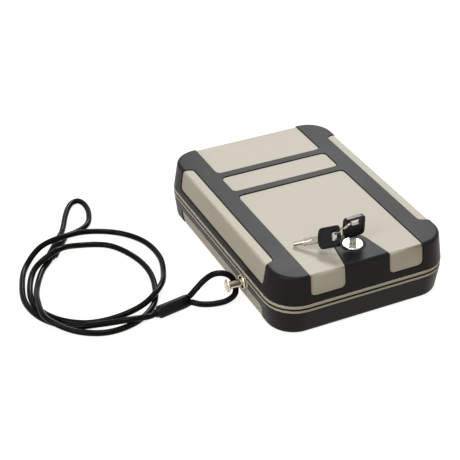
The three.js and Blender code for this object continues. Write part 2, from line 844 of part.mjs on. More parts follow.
const lockNutLow = lidCeiling - 2 * fitGap - doublerThickness - lockNutThickness;
const lockNut = hexNut(lockNutFlats, lockNutThickness, lockBodyRadius + fitGap);
add('lock_nut', 'zinc', lockNut.translate([0, lockY, lockNutLow]));

// Striker: a bent plate screwed to two bosses, its lip over the locked cam

const strikerFace = strikerBack + strikerThickness;
const strikerLipLow = camTop + 0.6;
const strikerTop = strikerLipLow + strikerThickness;

function strikerPlate() {
  const section = roundedShape([
    [strikerBack, strikerBottom, 0],
    [strikerFace, strikerBottom, 0],
    [strikerFace, strikerLipLow, 0],
    [strikerBack + strikerLipReach, strikerLipLow, 0],
    [strikerBack + strikerLipReach, strikerTop, 0],
    [strikerBack, strikerTop, 1],
  ]);
  let plate = prismX(section, -strikerWidth / 2, strikerWidth / 2);
  for (const side of [-1, 1]) {
    const hole = rod(smallScrewRadius + fitGap, -5, 5, 12);
    plate = plate.subtract(alongY(hole, (side * strikerScrewSpacing) / 2, strikerBack, strikerScrewHeight));
  }
  return plate;
}

add('striker_plate', 'zinc', strikerPlate());

for (const [name, side] of [['left', -1], ['right', 1]]) {
  const length = strikerThickness + fitGap + screwDepth - 0.3;
  const body = screw(smallScrewRadius, length, smallScrewHeadRadius, smallScrewHeadThickness);
  const seated = body.rotate([90, 0, 0]);
  const x = (side * strikerScrewSpacing) / 2;
  add(`striker_screw_${name}`, 'zinc', seated.translate([x, strikerFace + fitGap, strikerScrewHeight]));
}

// Cable post, its collar in the left wall, and the nut and clip inside

const collarTubeEnd = postBossEnd + fitGap + postNutThickness + 0.5;

function postCollar() {
  const bore = postRadius + fitGap;
  const back = collarSeat - fitGap - collarFace;
  const groove = collarRadius - collarGrooveDepth;
  const profile = [
    [bore, 0],
    [collarRadius - 0.8, 0],
    [collarRadius, 0.8],
    [collarRadius, collarGrooveStart],
    [groove, collarGrooveStart + 0.2],
    [groove, collarGrooveEnd - 0.2],
    [collarRadius, collarGrooveEnd],
    [collarRadius, back],
    [collarTubeRadius, back],
    [collarTubeRadius, collarTubeEnd - collarFace],
    [bore, collarTubeEnd - collarFace],
    [bore, 0],
  ];
  return alongX(turned(profile, 20), collarFace, postY, postZ);
}

add('post_collar', 'nickel', postCollar());

const postNut = hexNut(postNutFlats, postNutThickness, collarTubeRadius + fitGap);
add('post_collar_nut', 'zinc', alongX(postNut, postBossEnd + fitGap, postY, postZ));

const postHeadInner = collarFace - postGrip;
const clipStart = collarTubeEnd + fitGap;
const grooveRadius = postRadius - clipGrooveDepth;

function cablePost() {
  const start = postHeadInner - postHeadThickness;
  const at = (x) => x - start;
  const profile = [
    [0, -0.35],
    [postHeadRadius * 0.5, -0.2],
    [postHeadRadius - postHeadRound, 0],
    [postHeadRadius, postHeadRound],
    [postHeadRadius, postHeadThickness],
    [postRadius, postHeadThickness],
    [postRadius, at(clipStart)],
    [grooveRadius, at(clipStart)],
    [grooveRadius, at(clipStart + clipThickness + 2 * fitGap)],
    [postRadius, at(clipStart + clipThickness + 2 * fitGap)],
    [postRadius, at(clipStart + clipThickness + postTail - 0.6)],
    [postRadius - 0.6, at(clipStart + clipThickness + postTail)],
    [0, at(clipStart + clipThickness + postTail)],
  ];
  return alongX(turned(profile, 20), start, postY, postZ);
}

add('cable_post', 'nickel', cablePost());

// A spring clip that snaps into the post's groove from above
function retainingClip() {
  const ring = rod(clipRadius, 0, clipThickness).subtract(rod(grooveRadius + fitGap, -1, clipThickness + 1));
  const half = clipOpening / 2;
  const mouth = box(new THREE.Vector3(-half, -half, -1), new THREE.Vector3(clipRadius + 1, half, clipThickness + 1));
  return alongX(ring.subtract(mouth), clipStart + fitGap, postY, postZ);
}

add('post_retaining_clip', 'zinc', retainingClip());

// Keys

function keyBlade() {
  const half = stemWidth / 2;
  const mid = bitNarrow;
  const stemStart = bladeLength - stemLength;
  const tang = tangWidth / 2;
  const right = [
    [mid, bitStart],
    [mid, bitStart + 0.8],
    [half, bitStart + 1.4],
    [half, bitStart + 1.4 + bitTooth],
    [mid, bitStart + 2 + bitTooth],
    [mid, stemStart - 0.6],
    [half, stemStart],
    [half, bladeLength - 1],
    [tang, bladeLength],
    [tang, bladeLength + tangLength],
  ];
  const left = [
    [mid, bitStart],
    [half, bitStart + 0.8],
    [half, bitStart + 0.4 + bitTooth],
    [mid, bitStart + 1 + bitTooth],
    [mid, stemStart - 1.6],
    [half, stemStart - 1],
    [half, bladeLength - 1],
    [tang, bladeLength],
    [tang, bladeLength + tangLength],
  ];
  const corners = [...right, ...left.reverse().map(([x, z]) => [-x, z])].map(([x, z]) => [x, z, 0]);
  const flat = prismY(roundedShape(corners), -bladeThickness / 2, bladeThickness / 2);
  const barrel = turned([
    [0, 0],
    [barrelRadius - 0.3, 0],
    [barrelRadius, 0.3],
    [barrelRadius, stemStart],
    [bladeThickness / 2, stemStart + 2.5],
    [0, stemStart + 2.5],
  ], 16);
  return flat.add(barrel).subtract(rod(barrelBoreRadius, -1, barrelBoreDepth, 12));
}

function bowShape(less) {
  const half = bowWidth / 2 - less;
  const low = bladeLength + less;
  const high = bladeLength + bowHeight - less;
  const corner = bowCorner - less / 2;
  const shape = new THREE.Shape();
  shape.moveTo(-half + corner, low + bowBelly * 0.4);
  shape.quadraticCurveTo(0, low - bowBelly * 0.4, half - corner, low + bowBelly * 0.4);
  shape.quadraticCurveTo(half, low + bowBelly * 0.6, half, low + bowBelly + corner);
  shape.lineTo(half, high - corner);
  shape.quadraticCurveTo(half, high, half - corner, high);
  shape.lineTo(-half + corner, high);
  shape.quadraticCurveTo(-half, high, -half, high - corner);
  shape.lineTo(-half, low + bowBelly + corner);
  shape.quadraticCurveTo(-half, low + bowBelly * 0.6, -half + corner, low + bowBelly * 0.4);
  shape.closePath();
  return shape;
}

function keyBow() {
  const half = bowThickness / 2;
  let bow = prismY(bowShape(0), -half, half, 5);
  const hollow = bowShape(bowRimWidth);
  bow = bow.subtract(prismY(hollow, half - bowRimHeight, half + 1, 5));
  bow = bow.subtract(prismY(hollow, -half - 1, bowRimHeight - half, 5));
  const slotZ = bladeLength + ringSlotAbove;
  const wide = ringSlotWidth / 2;
  const tall = ringSlotHeight / 2;
  const collar = roundedBox(-wide - 1.2, slotZ - tall - 1.2, wide + 1.2, slotZ + tall + 1.2, 2);
  bow = bow.add(prismY(collar, -half, half, 4));
  bow = bow.subtract(prismY(roundedBox(-wide, slotZ - tall, wide, slotZ + tall, 1.5), -half - 1, half + 1, 4));
  const pocketX = tangWidth / 2 + fitGap;
  const pocketY = bladeThickness / 2 + fitGap;
  const low = new THREE.Vector3(-pocketX, -pocketY, bladeLength - 2);
  const high = new THREE.Vector3(pocketX, pocketY, bladeLength + tangLength + fitGap);
  const throat = new THREE.Vector3(-stemWidth / 2 - fitGap, -pocketY, bladeLength - 3);
  const throatEnd = new THREE.Vector3(stemWidth / 2 + fitGap, pocketY, bladeLength + fitGap);
  return bow.subtract(box(low, high)).subtract(box(throat, throatEnd));
}

const slotReach = bladeLength + ringSlotAbove;
const keyPlace = new THREE.Matrix4().makeTranslation(0, lockY, keyTipZ);
const ringCentre = new THREE.Vector3(0, lockY, keyTipZ + slotReach).add(ringFromSlot);
const spareTip = ringCentre.clone().add(spareSlotFromRing).addScaledVector(spareAxis, -slotReach);
const spareNormal = new THREE.Vector3().crossVectors(spareAxis, spareWidthWay).normalize();
const spareWidth = new THREE.Vector3().crossVectors(spareNormal, spareAxis);
const sparePlace = new THREE.Matrix4()
  .makeBasis(spareWidth, spareNormal, spareAxis)
  .setPosition(spareTip);

add('key_blade', 'nickel', keyBlade(), keyPlace);
add('key_head', 'keyPlastic', keyBow(), keyPlace);
add('spare_key_blade', 'nickel', keyBlade(), sparePlace);
add('spare_key_head', 'keyPlastic', keyBow(), sparePlace);

// Wire ring through the slots of both bows, seen almost edge on from the front
function keyRing() {
  const turn = new THREE.Quaternion().setFromUnitVectors(new THREE.Vector3(0, 0, 1), ringNormal);
  const place = new THREE.Matrix4().compose(ringCentre, turn, new THREE.Vector3(1, 1, 1));
  return { solid: toSolid(new THREE.TorusGeometry(ringRadius, ringWireRadius, 6, 32)), place };
}

const ring = keyRing();
add('key_ring', 'nickel', ring.solid, ring.place);

// Foam linings: a flat pad in the base and a waved pad under the lid

function baseFoam() {
  const low = baseFloor + fitGap;
  const high = low + baseFoamThickness;
  const inset = wallInsetAt(baseHalf, low + 2) + innerDepth + foamInset;
  return loft([
    outline(inset + 0.6, low),
    outline(inset, low + 1.2),
    outline(inset, high - 1),
    outline(inset + 1, high),
  ]);
}

add('base_foam', 'foam', baseFoam());

function waveSlab(width, length, high) {
  const across = Math.ceil((width / foamWaveLength) * foamWaveSteps);
  const along = Math.ceil((length / foamWaveLength) * foamWaveSteps);
  const points = [];
  const faces = [];
  const row = along + 1;
  const sheet = (across + 1) * row;
  for (const level of [0, 1]) {
    for (let i = 0; i <= across; i += 1) {
      for (let j = 0; j <= along; j += 1) {
        const x = (i / across - 0.5) * width;
        const y = (j / along - 0.5) * length;
        const wave = Math.cos((2 * Math.PI * x) / foamWaveLength) * Math.cos((2 * Math.PI * y) / foamWaveLength);
        const low = high - lidFoamThickness - (foamWaveHeight * (1 + wave)) / 2;
        points.push(x, y, level ? high : low);
      }
    }
  }
  for (let i = 0; i < across; i += 1) {
    for (let j = 0; j < along; j += 1) {
      const a = i * row + j;
      const b = a + row;
      faces.push(a, a + 1, b + 1, a, b + 1, b);
    }
  }
  const rim = [];
  for (let i = 0; i < across; i += 1) rim.push(i * row);
  for (let j = 0; j < along; j += 1) rim.push(across * row + j);
  for (let i = across; i > 0; i -= 1) rim.push(i * row + along);
  for (let j = along; j > 0; j -= 1) rim.push(j);
  rim.forEach((a, k) => {
    const b = rim[(k + 1) % rim.length];
    faces.push(a, b, b + sheet, a, b + sheet, a + sheet);
    if (k > 0 && k + 1 < rim.length) faces.push(sheet + rim[0], sheet + a, sheet + b);
  });
  const geometry = new THREE.BufferGeometry();
  geometry.setAttribute('position', new THREE.BufferAttribute(new Float32Array(points), 3));
  geometry.setIndex(faces);
  return toSolid(geometry);
}

function lidFoam() {
  const high = lidCeiling - fitGap;
  const half = caseWidth / 2 - lidFaceInset - innerDepth - foamInset;
  const reach = caseLength / 2 - lidFaceInset - innerDepth - foamInset;
  const notch = foamLockNotch / 2;
  const corner = foamCorner;
  const plan = roundedShape([
    [-half, -reach, corner],
    [-notch, -reach, 3],
    [-notch, lockY + foamNotchReach, 3],
    [notch, lockY + foamNotchReach, 3],
    [notch, -reach, 3],
    [half, -reach, corner],
    [half, reach, corner],
    [-half, reach, corner],
  ]);
  const slab = waveSlab(caseWidth, caseLength, high);
  return slab.intersect(prismZ(plan, 0, lidTop, 4));
}

add('lid_foam', 'foam', lidFoam());

// Tether cable

function section(sides, radius) {
  const shape = new THREE.Shape();
  for (let i = 0; i < sides; i += 1) {
    const angle = (2 * Math.PI * (i + 0.5)) / sides;
    const point = [radius * Math.cos(angle), radius * Math.sin(angle)];
    if (i === 0) shape.moveTo(...point);
    else shape.lineTo(...point);
  }
  shape.closePath();
  return shape;
}

const toPath = (points) => new THREE.CatmullRomCurve3(points, false, 'centripetal');

function tube(path, steps) {
  const options = { steps, extrudePath: path, bevelEnabled: false };
  return toSolid(new THREE.ExtrudeGeometry(section(cableSides, cableRadius), options));
}

// Least clear space between two parts of one cable that are far apart along it
function leastGap(path) {
  const count = 800;
  const apart = 25 / path.getLength();
  const points = path.getSpacedPoints(count);
  let least = Infinity;
  for (let i = 0; i <= count; i += 1) {
    for (let j = i + Math.ceil(apart * count); j <= count; j += 1) {
      least = Math.min(least, points[i].distanceTo(points[j]));
    }
  }
  return least - 2 * cableRadius;
}

// A sleeve's own directions: along it from tail to mouth, across its wide side, and through it
function sleeveFrame(tail, mouth, tilt) {
  const along = new THREE.Vector3().subVectors(mouth, tail).normalize();
  const level = new THREE.Vector3(-along.y, along.x, 0).normalize();
  const angle = THREE.MathUtils.degToRad(tilt);
  const rise = new THREE.Vector3().crossVectors(along, level);
  const wide = level.multiplyScalar(Math.cos(angle)).addScaledVector(rise, Math.sin(angle));
  return { along, wide, thin: new THREE.Vector3().crossVectors(along, wide), tail, mouth };
}

function stadium(frame, reach, width, height) {
  const ringPoints = [];
  const round = height / 2;
  const straight = (width - height) / 2;
  for (const [side, start] of [[1, -90], [-1, 90]]) {
    for (let i = 0; i <= 6; i += 1) {
      const angle = THREE.MathUtils.degToRad(start + 30 * i);
      ringPoints.push(frame.tail.clone()
        .addScaledVector(frame.along, reach)
        .addScaledVector(frame.wide, side * straight + round * Math.cos(angle))
        .addScaledVector(frame.thin, round * Math.sin(angle)));
    }
  }
  return ringPoints;
}

function sleeve(frame) {
  const length = frame.tail.distanceTo(frame.mouth);
  const neckWidth = 2 * cableRadius + 2.2;
  const mouthWidth = 2 * (cableRadius + strandOffset) + 0.4;
  const mouthHeight = 2 * cableRadius + 1;
  return loft([
    stadium(frame, 0, neckWidth, neckWidth - 0.4),
    stadium(frame, sleeveNeckLength - 0.4, neckWidth + 0.2, neckWidth - 0.2),
    stadium(frame, sleeveNeckLength, sleeveWidth - 1, sleeveHeight - 0.7),
    stadium(frame, sleeveNeckLength + 0.8, sleeveWidth, sleeveHeight),
    stadium(frame, length - sleeveMouthTaper, sleeveWidth, sleeveHeight),
    stadium(frame, length - sleeveMouthTaper / 2, sleeveWidth, (sleeveHeight + mouthHeight) / 2),
    stadium(frame, length, mouthWidth, mouthHeight),
  ]);
}

// An eye: out of the sleeve's mouth beside its own other end, and back in
function eyePath(frame, points) {
  const out = (side, reach) => frame.mouth.clone()
    .addScaledVector(frame.along, reach)
    .addScaledVector(frame.wide, side * strandOffset);
  const middle = points.map((p) => new THREE.Vector3(...p));
  return toPath([out(1, fitGap), out(1, 3), ...middle, out(-1, 3), out(-1, fitGap)]);
}

const nearSleeve = sleeveFrame(nearSleeveTail, nearSleeveMouth, nearSleeveTilt);
const farSleeve = sleeveFrame(farSleeveTail, farSleeveMouth, farSleeveTilt);
const runPath = toPath(runPoints.map((p) => new THREE.Vector3(...p)));
const nearEye = eyePath(nearSleeve, nearEyePoints);
const farEye = eyePath(farSleeve, farEyePoints);

add('ferrule_near', 'cable', sleeve(nearSleeve));
add('ferrule_far', 'cable', sleeve(farSleeve));
add('cable_run', 'cable', tube(runPath, runSteps));
add('cable_eye_near', 'cable', tube(nearEye, eyeSteps));
add('cable_eye_far', 'cable', tube(farEye, eyeSteps));

console.log(`cable run ${runPath.getLength().toFixed(0)} mm, least gap ${leastGap(runPath).toFixed(2)} mm`);
console.log(`eyes ${nearEye.getLength().toFixed(0)} and ${farEye.getLength().toFixed(0)} mm round`);

export default group;
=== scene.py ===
"""Portable car safe with a cam lock, two keys on a ring and a tether cable, dressed for looks.

Metres, in the solids' own frame: X to the right, -Y towards the lock, +Z up. Sizes are written in
millimetres where they are easier to read, and MM turns them into metres.
"""
import math

import bmesh
import bpy
import numpy as np
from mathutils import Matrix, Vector, geometry


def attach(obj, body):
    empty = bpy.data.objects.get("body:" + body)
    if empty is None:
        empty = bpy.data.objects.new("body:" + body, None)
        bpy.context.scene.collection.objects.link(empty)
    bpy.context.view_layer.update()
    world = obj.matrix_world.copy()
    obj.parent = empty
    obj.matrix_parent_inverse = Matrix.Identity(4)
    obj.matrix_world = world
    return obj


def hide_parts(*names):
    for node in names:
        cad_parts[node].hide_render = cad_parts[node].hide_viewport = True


MM = 0.001
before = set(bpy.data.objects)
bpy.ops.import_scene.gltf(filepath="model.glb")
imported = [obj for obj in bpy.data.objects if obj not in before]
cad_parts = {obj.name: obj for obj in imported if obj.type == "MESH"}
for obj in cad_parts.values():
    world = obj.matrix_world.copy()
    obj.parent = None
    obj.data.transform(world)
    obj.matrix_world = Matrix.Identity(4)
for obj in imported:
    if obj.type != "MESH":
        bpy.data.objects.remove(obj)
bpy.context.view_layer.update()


# ---- Camera ----
# The photograph was taken from the front left and above with a long lens. The camera stands
# where it stood, fitted to the case's corners, and looks along the same line.
EYE = Vector((-490.05, -866.74, 676.74)) * MM
SIGHT = Vector((0.35939, 0.75190, -0.55271))
FOCAL_PIXELS = 1236.8
FRAME_PIXELS = 460
SENSOR_WIDTH = 36


def placed(name, data):
    """A new object of the scene."""
    made = bpy.data.objects.new(name, data)
    bpy.context.collection.objects.link(made)
    return made


camera_data = bpy.data.cameras.new("camera")
camera_data.sensor_width = SENSOR_WIDTH
camera_data.lens = SENSOR_WIDTH * FOCAL_PIXELS / FRAME_PIXELS
camera = placed("camera", camera_data)
camera.location = EYE
camera.rotation_euler = SIGHT.to_track_quat("-Z", "Y").to_euler()
bpy.context.scene.camera = camera


# ---- Tether cable ----
# A steel rope under a glossy black coat, between 5 and 6 mm thick. It leaves the near sleeve, lies
# on the ground in one and a half loose rounds and ends at the far sleeve. Both ends have an eye.
CABLE_RADIUS = 2.8
CABLE_SIDES = 20
RUN_POINTS = [
    (-172.3, -47.3, 5.9), (-177.9, -48.3, 5.9), (-194.5, -49.5, 9), (-223, -40, 6),
    (-245, -29, 3), (-264, -7, 3), (-270.5, 21, 3), (-265, 49, 3),
    (-253, 75.5, 3.5), (-231.5, 92.5, 10), (-203.5, 97.5, 11.5), (-175.5, 102, 5.5),
    (-150.5, 90, 3), (-135.5, 66, 3), (-132.5, 37.5, 3), (-140, 10, 4.5),
    (-153.5, -15, 9.5), (-176.5, -31, 7), (-204, -34, 3.5), (-231.5, -29.5, 3),
    (-253.5, -11.5, 3), (-264, 14.5, 3), (-260, 41.5, 3), (-246, 66, 6.5),
    (-220, 76.5, 12.5), (-194.5, 86, 4.5), (-169.5, 76, 3), (-155, 49.5, 3),
    (-150.5, 21.5, 3), (-155.5, -6.5, 3), (-168, -32, 3), (-191.5, -48, 3),
    (-220, -50, 3), (-245, -36.5, 4), (-263, -16, 10), (-261.5, 12.5, 8.5),
    (-253.5, 39.5, 3.5), (-240, 64.5, 3), (-230.2, 74.7, 3.9), (-226.9, 79.3, 3.9),
]
NEAR_EYE_POINTS = [
    (-130, -40.9, 15), (-121.5, -40.8, 22.3), (-113.4, -41.5, 26.8), (-105.5, -43.8, 27.6),
    (-99, -46.6, 25), (-95.8, -48.6, 20.5), (-95.1, -52, 14.7), (-97.5, -55.5, 9.4),
    (-105, -55.8, 5), (-116, -53.2, 3.1), (-127.5, -48.5, 3),
]
FAR_EYE_POINTS = [
    (-203.4, 117, 3), (-197.5, 128, 3), (-190.5, 143, 3), (-182.5, 157, 3), (-175.5, 164.5, 3),
    (-169.5, 165.5, 3), (-166, 160, 3), (-165.5, 147, 3), (-168.5, 134, 3), (-174.5, 121.5, 3),
    (-182.5, 115, 3), (-192, 111.3, 3),
]
STRAND_OFFSET = 2.85
FIT_GAP = 0.3
STRAIGHT = 3
SLEEVES = {  # tail, mouth, and tilt round its length in degrees
    "near": ((-172, -47.3, 5.9), (-138.5, -41.7, 6.1), 62),
    "far": ((-226.7, 79.5, 3.9), (-206.6, 107, 3.9), 0),
}


def through(points, per_span=8):
    """A smooth line through points in millimetres, taut where they stand close. In metres."""
    spots = [Vector(p) * MM for p in points]
    spots = [2 * spots[0] - spots[1], *spots, 2 * spots[-1] - spots[-2]]
    line = []
    for a, b, c, d in zip(spots, spots[1:], spots[2:], spots[3:]):
        first, span, last = ((q - p).length ** 0.5 for p, q in ((a, b), (b, c), (c, d)))
        leaving = ((b - a) / first - (c - a) / (first + span) + (c - b) / span) * span
        arriving = ((c - b) / span - (d - b) / (span + last) + (d - c) / last) * span
        for i in range(per_span):
            s = i / per_span
            line.append(b * (2 * s**3 - 3 * s**2 + 1) + leaving * (s**3 - 2 * s**2 + s)
                        + c * (3 * s**2 - 2 * s**3) + arriving * (s**3 - s**2))
    return line + [spots[-2]]


def line_length(line):
    return sum((b - a).length for a, b in zip(line, line[1:]))


def sleeve_frame(tail, mouth, tilt):
    """A sleeve's place: its tail, its length, and its directions along, wide and thin."""
    tail, mouth = Vector(tail), Vector(mouth)
    along = (mouth - tail).normalized()
    level = Vector((-along.y, along.x, 0)).normalized()
    rise = along.cross(level)
    angle = math.radians(tilt)
    wide = level * math.cos(angle) + rise * math.sin(angle)
    return tail, (mouth - tail).length, along, wide, along.cross(wide)


def eye_points(which, points):
    """Out of the sleeve's mouth beside its own other end, round, and back in."""
    tail, length, along, wide, _ = sleeve_frame(*SLEEVES[which])
    mouth = tail + along * length

    def end(side, reach):
        return tuple(mouth + along * reach + wide * (side * STRAND_OFFSET))

    return [end(1, FIT_GAP), end(1, STRAIGHT), *points, end(-1, STRAIGHT), end(-1, FIT_GAP)]


class Field:
    """A value in a node tree, such as one that varies over a surface. Each sum or product with it
    adds one Math node."""

    def __init__(self, nodes, socket):
        self.nodes, self.socket = nodes, socket

    def _with(self, operation, *values):
        return self.nodes.node("ShaderNodeMath", {"operation": operation}, values)

    def __add__(self, other):
        return self._with("ADD", self, other)

    __radd__ = __add__

    def __sub__(self, other):
        return self._with("SUBTRACT", self, other)

    def __rsub__(self, other):
        return self._with("SUBTRACT", other, self)

    def __mul__(self, other):
        return self._with("MULTIPLY", self, other)

    __rmul__ = __mul__

    def __truediv__(self, other):
        return self._with("DIVIDE", self, other)

    def __rtruediv__(self, other):
        return self._with("DIVIDE", other, self)

    def limited(self):
        return self.nodes.node("ShaderNodeClamp", {}, {"Value": self})


class Nodes:
    """A node tree. node() is the only way a node gets into it."""

    def __init__(self, tree):
        self.tree = tree

    def node(self, kind, settings, sockets, output=0):
        """Adds a node: its settings first, then a value or a link for each named socket."""
        made = self.tree.nodes.new(kind)
        for key, value in settings.items():
            if key == "stops":
                self._stops(made.color_ramp, value)
            else:
                setattr(made, key, value)
        pairs = sockets.items() if isinstance(sockets, dict) else enumerate(sockets)
        for key, value in pairs:
            if isinstance(value, Field):
                self.tree.links.new(value.socket, made.inputs[key])
            else:
                made.inputs[key].default_value = value
        return Field(self, made.outputs[output]) if made.outputs else made

    @staticmethod
    def _stops(ramp, stops):
        while len(ramp.elements) < len(stops):
            ramp.elements.new(0.5)
        for element, (position, colour) in zip(ramp.elements, stops):
            element.position = position
            element.color = (*colour, 1)


class Finish(Nodes):
    """The nodes of one material, or of the world, with pattern sizes in millimetres."""

    def __init__(self, name, owners=bpy.data.materials):
        self.data = owners.new(name)
        self.data.use_nodes = True
        super().__init__(self.data.node_tree)
        self.tree.nodes.clear()

    def place(self):
        return self.node("ShaderNodeTexCoord", {}, {}, "Object")

    def noise(self, size_mm, detail=2.0, roughness=0.5, place=None):
        sockets = {"Vector": place or self.place(), "Scale": 1 / (size_mm * MM), "Detail": detail,
                   "Roughness": roughness}
        return self.node("ShaderNodeTexNoise", {}, sockets, "Fac")

    def ramp(self, field, stops):
        return self.node("ShaderNodeValToRGB", {"stops": stops}, {"Fac": field}, "Color")

    def close(self, colour, roughness, bump, **others):
        """Ends the tree in a Principled surface. Its bump is a height and a depth in millimetres,
        and its other sockets are named with _ for each space."""
        height, depth_mm = bump
        sockets = {"Height": height, "Distance": depth_mm * MM, "Strength": 1.0}
        normal = self.node("ShaderNodeBump", {}, sockets, "Normal")
        sockets = {"Base Color": colour, "Roughness": roughness, "Normal": normal}
        sockets.update({key.replace("_", " "): value for key, value in others.items()})
        surface = self.node("ShaderNodeBsdfPrincipled", {}, sockets, "BSDF")
        self.node("ShaderNodeOutputMaterial", {}, {"Surface": surface})
        return self.data


def cable_coat():
    """Glossy black coat, a little dull in patches where it has been handled."""
    finish = Finish("cable coat")
    handled = finish.noise(16, 3)
    colour = finish.ramp(handled, [(0.3, (0.001, 0.001, 0.001)), (0.75, (0.003, 0.003, 0.003))])
    return finish.close(colour, 0.15 + handled * 0.08, bump=(handled, 0.04),
                        Specular_IOR_Level=0.08)


def applied(piece):
    """The plain mesh that an object's modifiers make of it."""
    graph = bpy.context.evaluated_depsgraph_get()
    return bpy.data.meshes.new_from_object(piece.evaluated_get(graph), depsgraph=graph)


class Tree(Nodes):
    """A Geometry Nodes tree with named inputs, ending in Realize Instances and Set Material."""

    def __init__(self, name, **inputs):
        super().__init__(bpy.data.node_groups.new(name, "GeometryNodeTree"))
        face = self.tree.interface
        face.new_socket("Geometry", in_out="OUTPUT", socket_type="NodeSocketGeometry")
        face.new_socket("Geometry", in_out="INPUT", socket_type="NodeSocketGeometry")
        self.sockets = {}
        for label, kind in {**inputs, "Material": "Material"}.items():
            made = face.new_socket(label, in_out="INPUT", socket_type=f"NodeSocket{kind}")
            self.sockets[label] = made.identifier
        labels = ("Geometry", *self.sockets)
        self.inputs = {label: self.node("NodeGroupInput", {}, {}, label) for label in labels}

    def close(self, shape):
        real = self.node("GeometryNodeRealizeInstances", {}, [shape])
        smooth = self.node("GeometryNodeSetShadeSmooth", {}, [real])
        sockets = {"Geometry": smooth, "Material": self.inputs["Material"]}
        dressed_shape = self.node("GeometryNodeSetMaterial", {}, sockets)
        self.node("NodeGroupOutput", {}, [dressed_shape])

    def made(self, name, start, **values):
        """Runs the tree on a start object and keeps the result as a plain mesh object."""
        modifier = start.modifiers.new("nodes", "NODES")
        modifier.node_group = self.tree
        for label, value in values.items():
            modifier[self.sockets[label]] = value
        mesh = applied(start)
        bpy.data.objects.remove(start)
        mesh.name = name
        return placed(name, mesh)


def swept_tree():
    """A round bar swept along a line, with closed ends where the line is open."""
    tree = Tree("Swept bar", Radius="Float", Sides="Int")
    sockets = {"Resolution": tree.inputs["Sides"], "Radius": tree.inputs["Radius"]}
    profile = tree.node("GeometryNodeCurvePrimitiveCircle", {}, sockets)
    sockets = {"Curve": tree.inputs["Geometry"], "Profile Curve": profile, "Fill Caps": True}
    tree.close(tree.node("GeometryNodeCurveToMesh", {}, sockets))
    return tree


def line_object(line):
    data = bpy.data.curves.new("line", "CURVE")
    data.dimensions = "3D"
    spline = data.splines.new("POLY")
    spline.points.add(len(line) - 1)
    for point, place in zip(spline.points, line):
        point.co = (*place, 1)
    return placed("line", data)


def stands_for(piece, body, slot, *nodes):
    """Makes a piece ride on a body in place of CAD solids, which it hides. Its slot is not used."""
    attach(piece, body)
    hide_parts(*nodes)


coat = cable_coat()
swept = swept_tree()
cords = {}
for name, points in (
    ("cable_run", RUN_POINTS),
    ("cable_eye_near", eye_points("near", NEAR_EYE_POINTS)),
    ("cable_eye_far", eye_points("far", FAR_EYE_POINTS)),
):
    line = through(points)
    piece = swept.made(f"{name}_coated", line_object(line), Radius=CABLE_RADIUS * MM,
                       Sides=CABLE_SIDES, Material=coat)
    stands_for(piece, "base", "cable_jacket", name)
    cords[name] = (piece, line)


# ---- Pressed sleeves ----
# Each eye is closed by an oval metal sleeve pressed over both strands under a black shrunk coat.
# It necks in round the single cable at its tail and parts in two lobes at its mouth.
SLEEVE_SIDES = 40
SLEEVE_SIZES = {"near": (12.0, 8.9), "far": (11.5, 7.6)}
NECK_COAT = 2.2
NECK_END = 3
OVAL_POWERS = (0.78, 0.9)
LOBE_WIDTH = 1.9


def ring_skin(name, rings, material, hollow=False):
    """A closed mesh over rows of rings with as many points each, in millimetres. Its ends are
    capped, or joined to each other where it is hollow."""
    count = len(rings[0])
    points = [tuple(Vector(p) * MM) for ring in rings for p in ring]
    faces = []
    for r in range(len(rings) if hollow else len(rings) - 1):
        low, high = r * count, (r + 1) % len(rings) * count
        for i in range(count):
            j = (i + 1) % count
            faces.append((low + i, low + j, high + j, high + i))
    if not hollow:
        faces.append(tuple(range(count - 1, -1, -1)))
        faces.append(tuple(range(len(points) - count, len(points))))
    return mesh_object(name, points, faces, material)


def mesh_object(name, points, faces, material, sharp=40):
    """A mesh with outward faces, smooth except over edges sharper than an angle in degrees."""
    mesh = bpy.data.meshes.new(name)
    mesh.from_pydata(points, [], faces)
    mesh.validate()
    build = bmesh.new()
    build.from_mesh(mesh)
    bmesh.ops.recalc_face_normals(build, faces=build.faces)
    build.to_mesh(mesh)
    build.free()
    mesh.shade_smooth()
    mesh.set_sharp_from_angle(angle=math.radians(sharp))
    mesh.materials.append(material)
    return placed(name, mesh)


def sleeve_rings(tail, length, along, wide, thin, full, tall):
    """Sections from tail to mouth: (reach, width, height, pinch between the lobes)."""
    cable = 2 * CABLE_RADIUS
    neck = cable + NECK_COAT
    mouth = 2 * (CABLE_RADIUS + STRAND_OFFSET)
    sections = [
        (0.0, cable + 0.6, cable + 0.6, 0), (0.15, neck - 0.5, neck - 0.7, 0),
        (0.5, neck, neck - 0.4, 0), (2.5, neck + 0.2, neck - 0.2, 0), (2.9, neck + 0.5, neck, 0),
        (3.3, full - 1.4, tall - 0.9, 0), (3.9, full - 0.4, tall - 0.2, 0),
        (5, full, tall, 0), (9.5, full, tall, 0.01), (length - 9, full, tall, 0.01),
        (length - 6, full + 0.1, tall - 0.1, 0.05), (length - 3.4, full + 0.1, tall - 0.5, 0.14),
        (length - 1.2, mouth + 0.5, cable + 1.2, 0.27),
        (length - 0.4, mouth + 0.3, cable + 0.9, 0.33),
        (length, mouth - 0.4, cable + 0.2, 0.4),
    ]
    rings = []
    for reach, width, height, pinch in sections:
        ring = []
        for i in range(SLEEVE_SIDES):
            turn = 2 * math.pi * i / SLEEVE_SIDES
            c, s = math.cos(turn), math.sin(turn)
            powers = OVAL_POWERS if reach > NECK_END else (1, 1)
            x = width / 2 * math.copysign(abs(c) ** powers[0], c)
            y = height / 2 * math.copysign(abs(s) ** powers[1], s)
            y *= 1 - pinch * math.exp(-((x / LOBE_WIDTH) ** 2))
            ring.append(tail + along * reach + wide * x + thin * y)
        rings.append(ring)
    return rings


